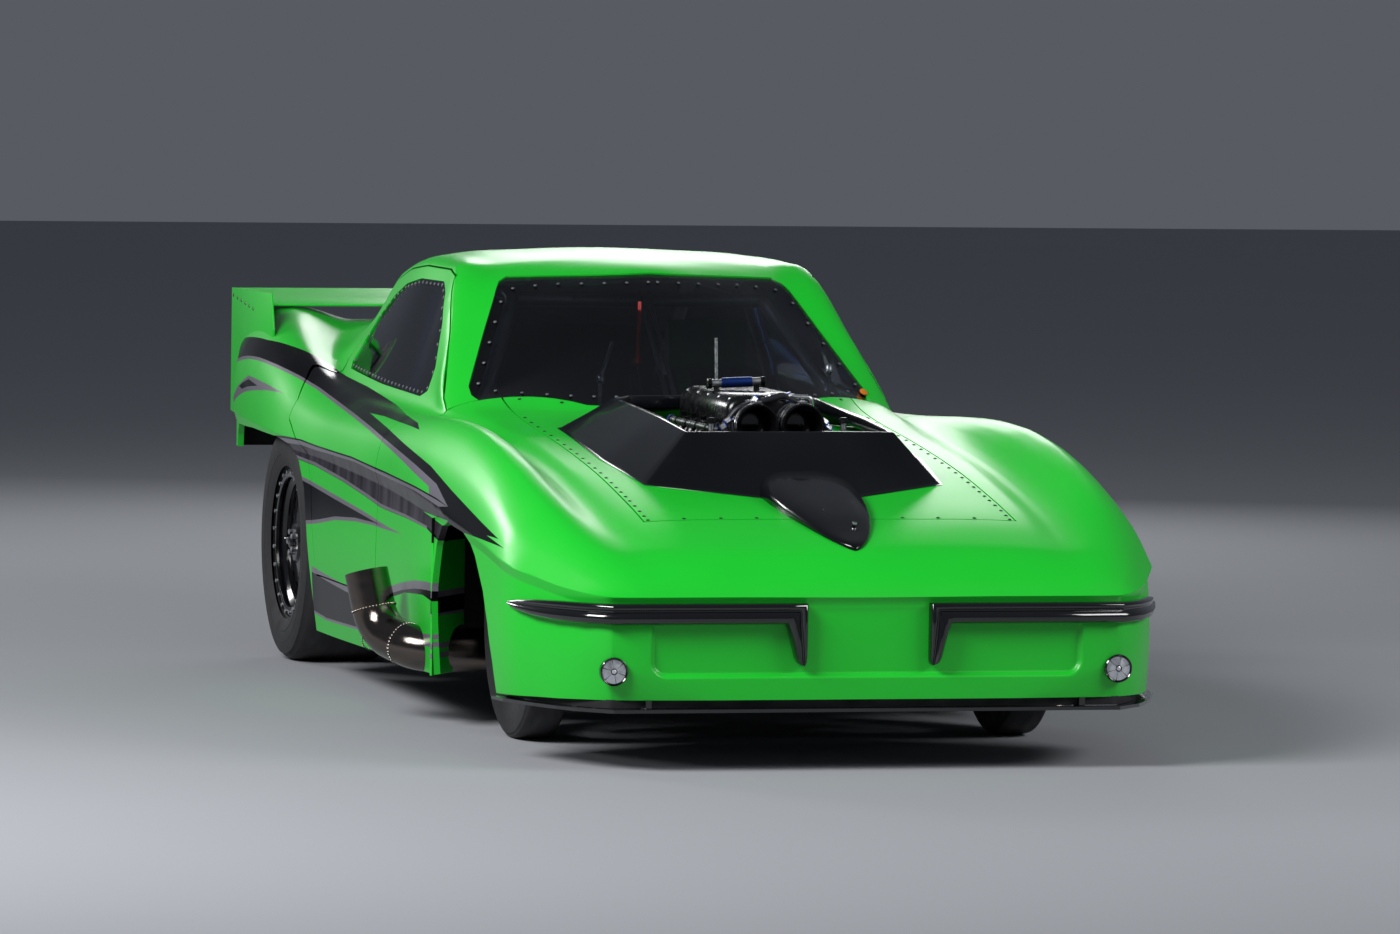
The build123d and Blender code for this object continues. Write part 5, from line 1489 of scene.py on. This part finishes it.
# Finishes of the pieces that are kept as they are
KEPT = {"engine_block": ALLOY_GREY, "cylinder_heads": ALLOY_BLACK, "gearbox": ALLOY_GREY,
        "driveshaft": DARK_STEEL, "rear_axle": DARK_STEEL, "chassis_frame": DARK_STEEL,
        "cage_hoop": CAGE_SILVER, "cage_side_bars": CAGE_SILVER, "cage_braces": CAGE_SILVER,
        "cabin_floor": PANEL_BLACK, "dash_panel": CARBON, "steering_wheel": SUEDE,
        "steering_rack": DARK_STEEL, "front_arms": DARK_STEEL, "upright_left": ALLOY_BLACK,
        "upright_right": ALLOY_BLACK, "rear_suspension": DARK_STEEL, "wheelie_bar": DARK_STEEL,
        "splitter": GLOSS_BLACK, "exhausts": HEATED}
for name, material in KEPT.items():
    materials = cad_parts[name].data.materials
    materials.clear()
    materials.append(material)
beads.both_sides().finish("exhaust_beads", [HEATED], smooth=50)

# Black closing panel between the firewall and the body
BULKHEAD_Y = 908
FIREWALL = [(0, 800), (480, 800), (640, 700), (620, 152)]
profile = body_grid([BULKHEAD_Y], inset=WALL + 4)[0][:, [0, 2]]
profile = [(x, z) for x, z in profile if z > FIREWALL[-1][1]]
fire = np.array(FIREWALL, float)
closing = []
for x, z in profile:
    spots = []
    for a, b in zip(fire, fire[1:]):
        t = np.clip((np.array((x, z)) - a) @ (b - a) / ((b - a) @ (b - a)), 0, 1)
        spots.append(a + (b - a) * t)
    near = min(spots, key=lambda q: (q[0] - x) ** 2 + (q[1] - z) ** 2)
    closing.append((near[0] * 0.985, near[1] - 4))
bulkhead = Shape()
bulkhead.rings([[(x, BULKHEAD_Y - forward, z) for x, z in path]
                for path, forward in ((closing, 5), (profile, 5), (profile, 3), (closing, 3))],
               closed=False, caps=False)
bulkhead.both_sides().finish("firewall_flange", [PANEL_BLACK], smooth=30)

# Floor, world and soft lamps
FLOOR_SIZE = 40
floor_mesh = bpy.data.meshes.new("floor")
corners = [(x * FLOOR_SIZE, y * FLOOR_SIZE, 0) for x, y in ((-1, -1), (1, -1), (1, 1), (-1, 1))]
floor_mesh.from_pydata(corners, [], [(0, 1, 2, 3)])
floor = bpy.data.objects.new("floor", floor_mesh)
bpy.context.scene.collection.objects.link(floor)
floor_mesh.materials.append(finish("floor_grey", (158, 160, 165), 0.9, vary=0.01, scale=0.5,
                                   Specular_IOR_Level=0.05))

world = bpy.data.worlds.new("world")
bpy.context.scene.world = world
world.use_nodes = True
backdrop = world.node_tree.nodes["Background"]
backdrop.inputs["Color"].default_value = srgb((150, 156, 166))
backdrop.inputs["Strength"].default_value = 0.32


def soft_lamp(name, place, aim, size, power):
    """An area lamp at a place, turned to its aim."""
    lamp = bpy.data.lights.new(name, "AREA")
    lamp.shape = "RECTANGLE"
    lamp.size, lamp.size_y = size
    lamp.energy = power
    holder = bpy.data.objects.new(name, lamp)
    bpy.context.scene.collection.objects.link(holder)
    holder.location = place
    holder.rotation_euler = (Vector(aim) - Vector(place)).to_track_quat("-Z", "Y").to_euler()


soft_lamp("key", (-5.5, -4.5, 5.0), (0, 0, 0.6), (3.5, 2.2), 600)
soft_lamp("fill", (5.5, -5.5, 4.0), (0, 0, 0.6), (4.0, 2.0), 240)
soft_lamp("rear left", (-5.5, 6.5, 4.0), (-0.6, 0.5, 0.8), (2.2, 1.6), 200)
soft_lamp("rear right", (2.6, 7.5, 3.4), (0, 0.5, 0.8), (3.0, 2.2), 110)
bpy.context.scene.view_settings.view_transform = "Standard"
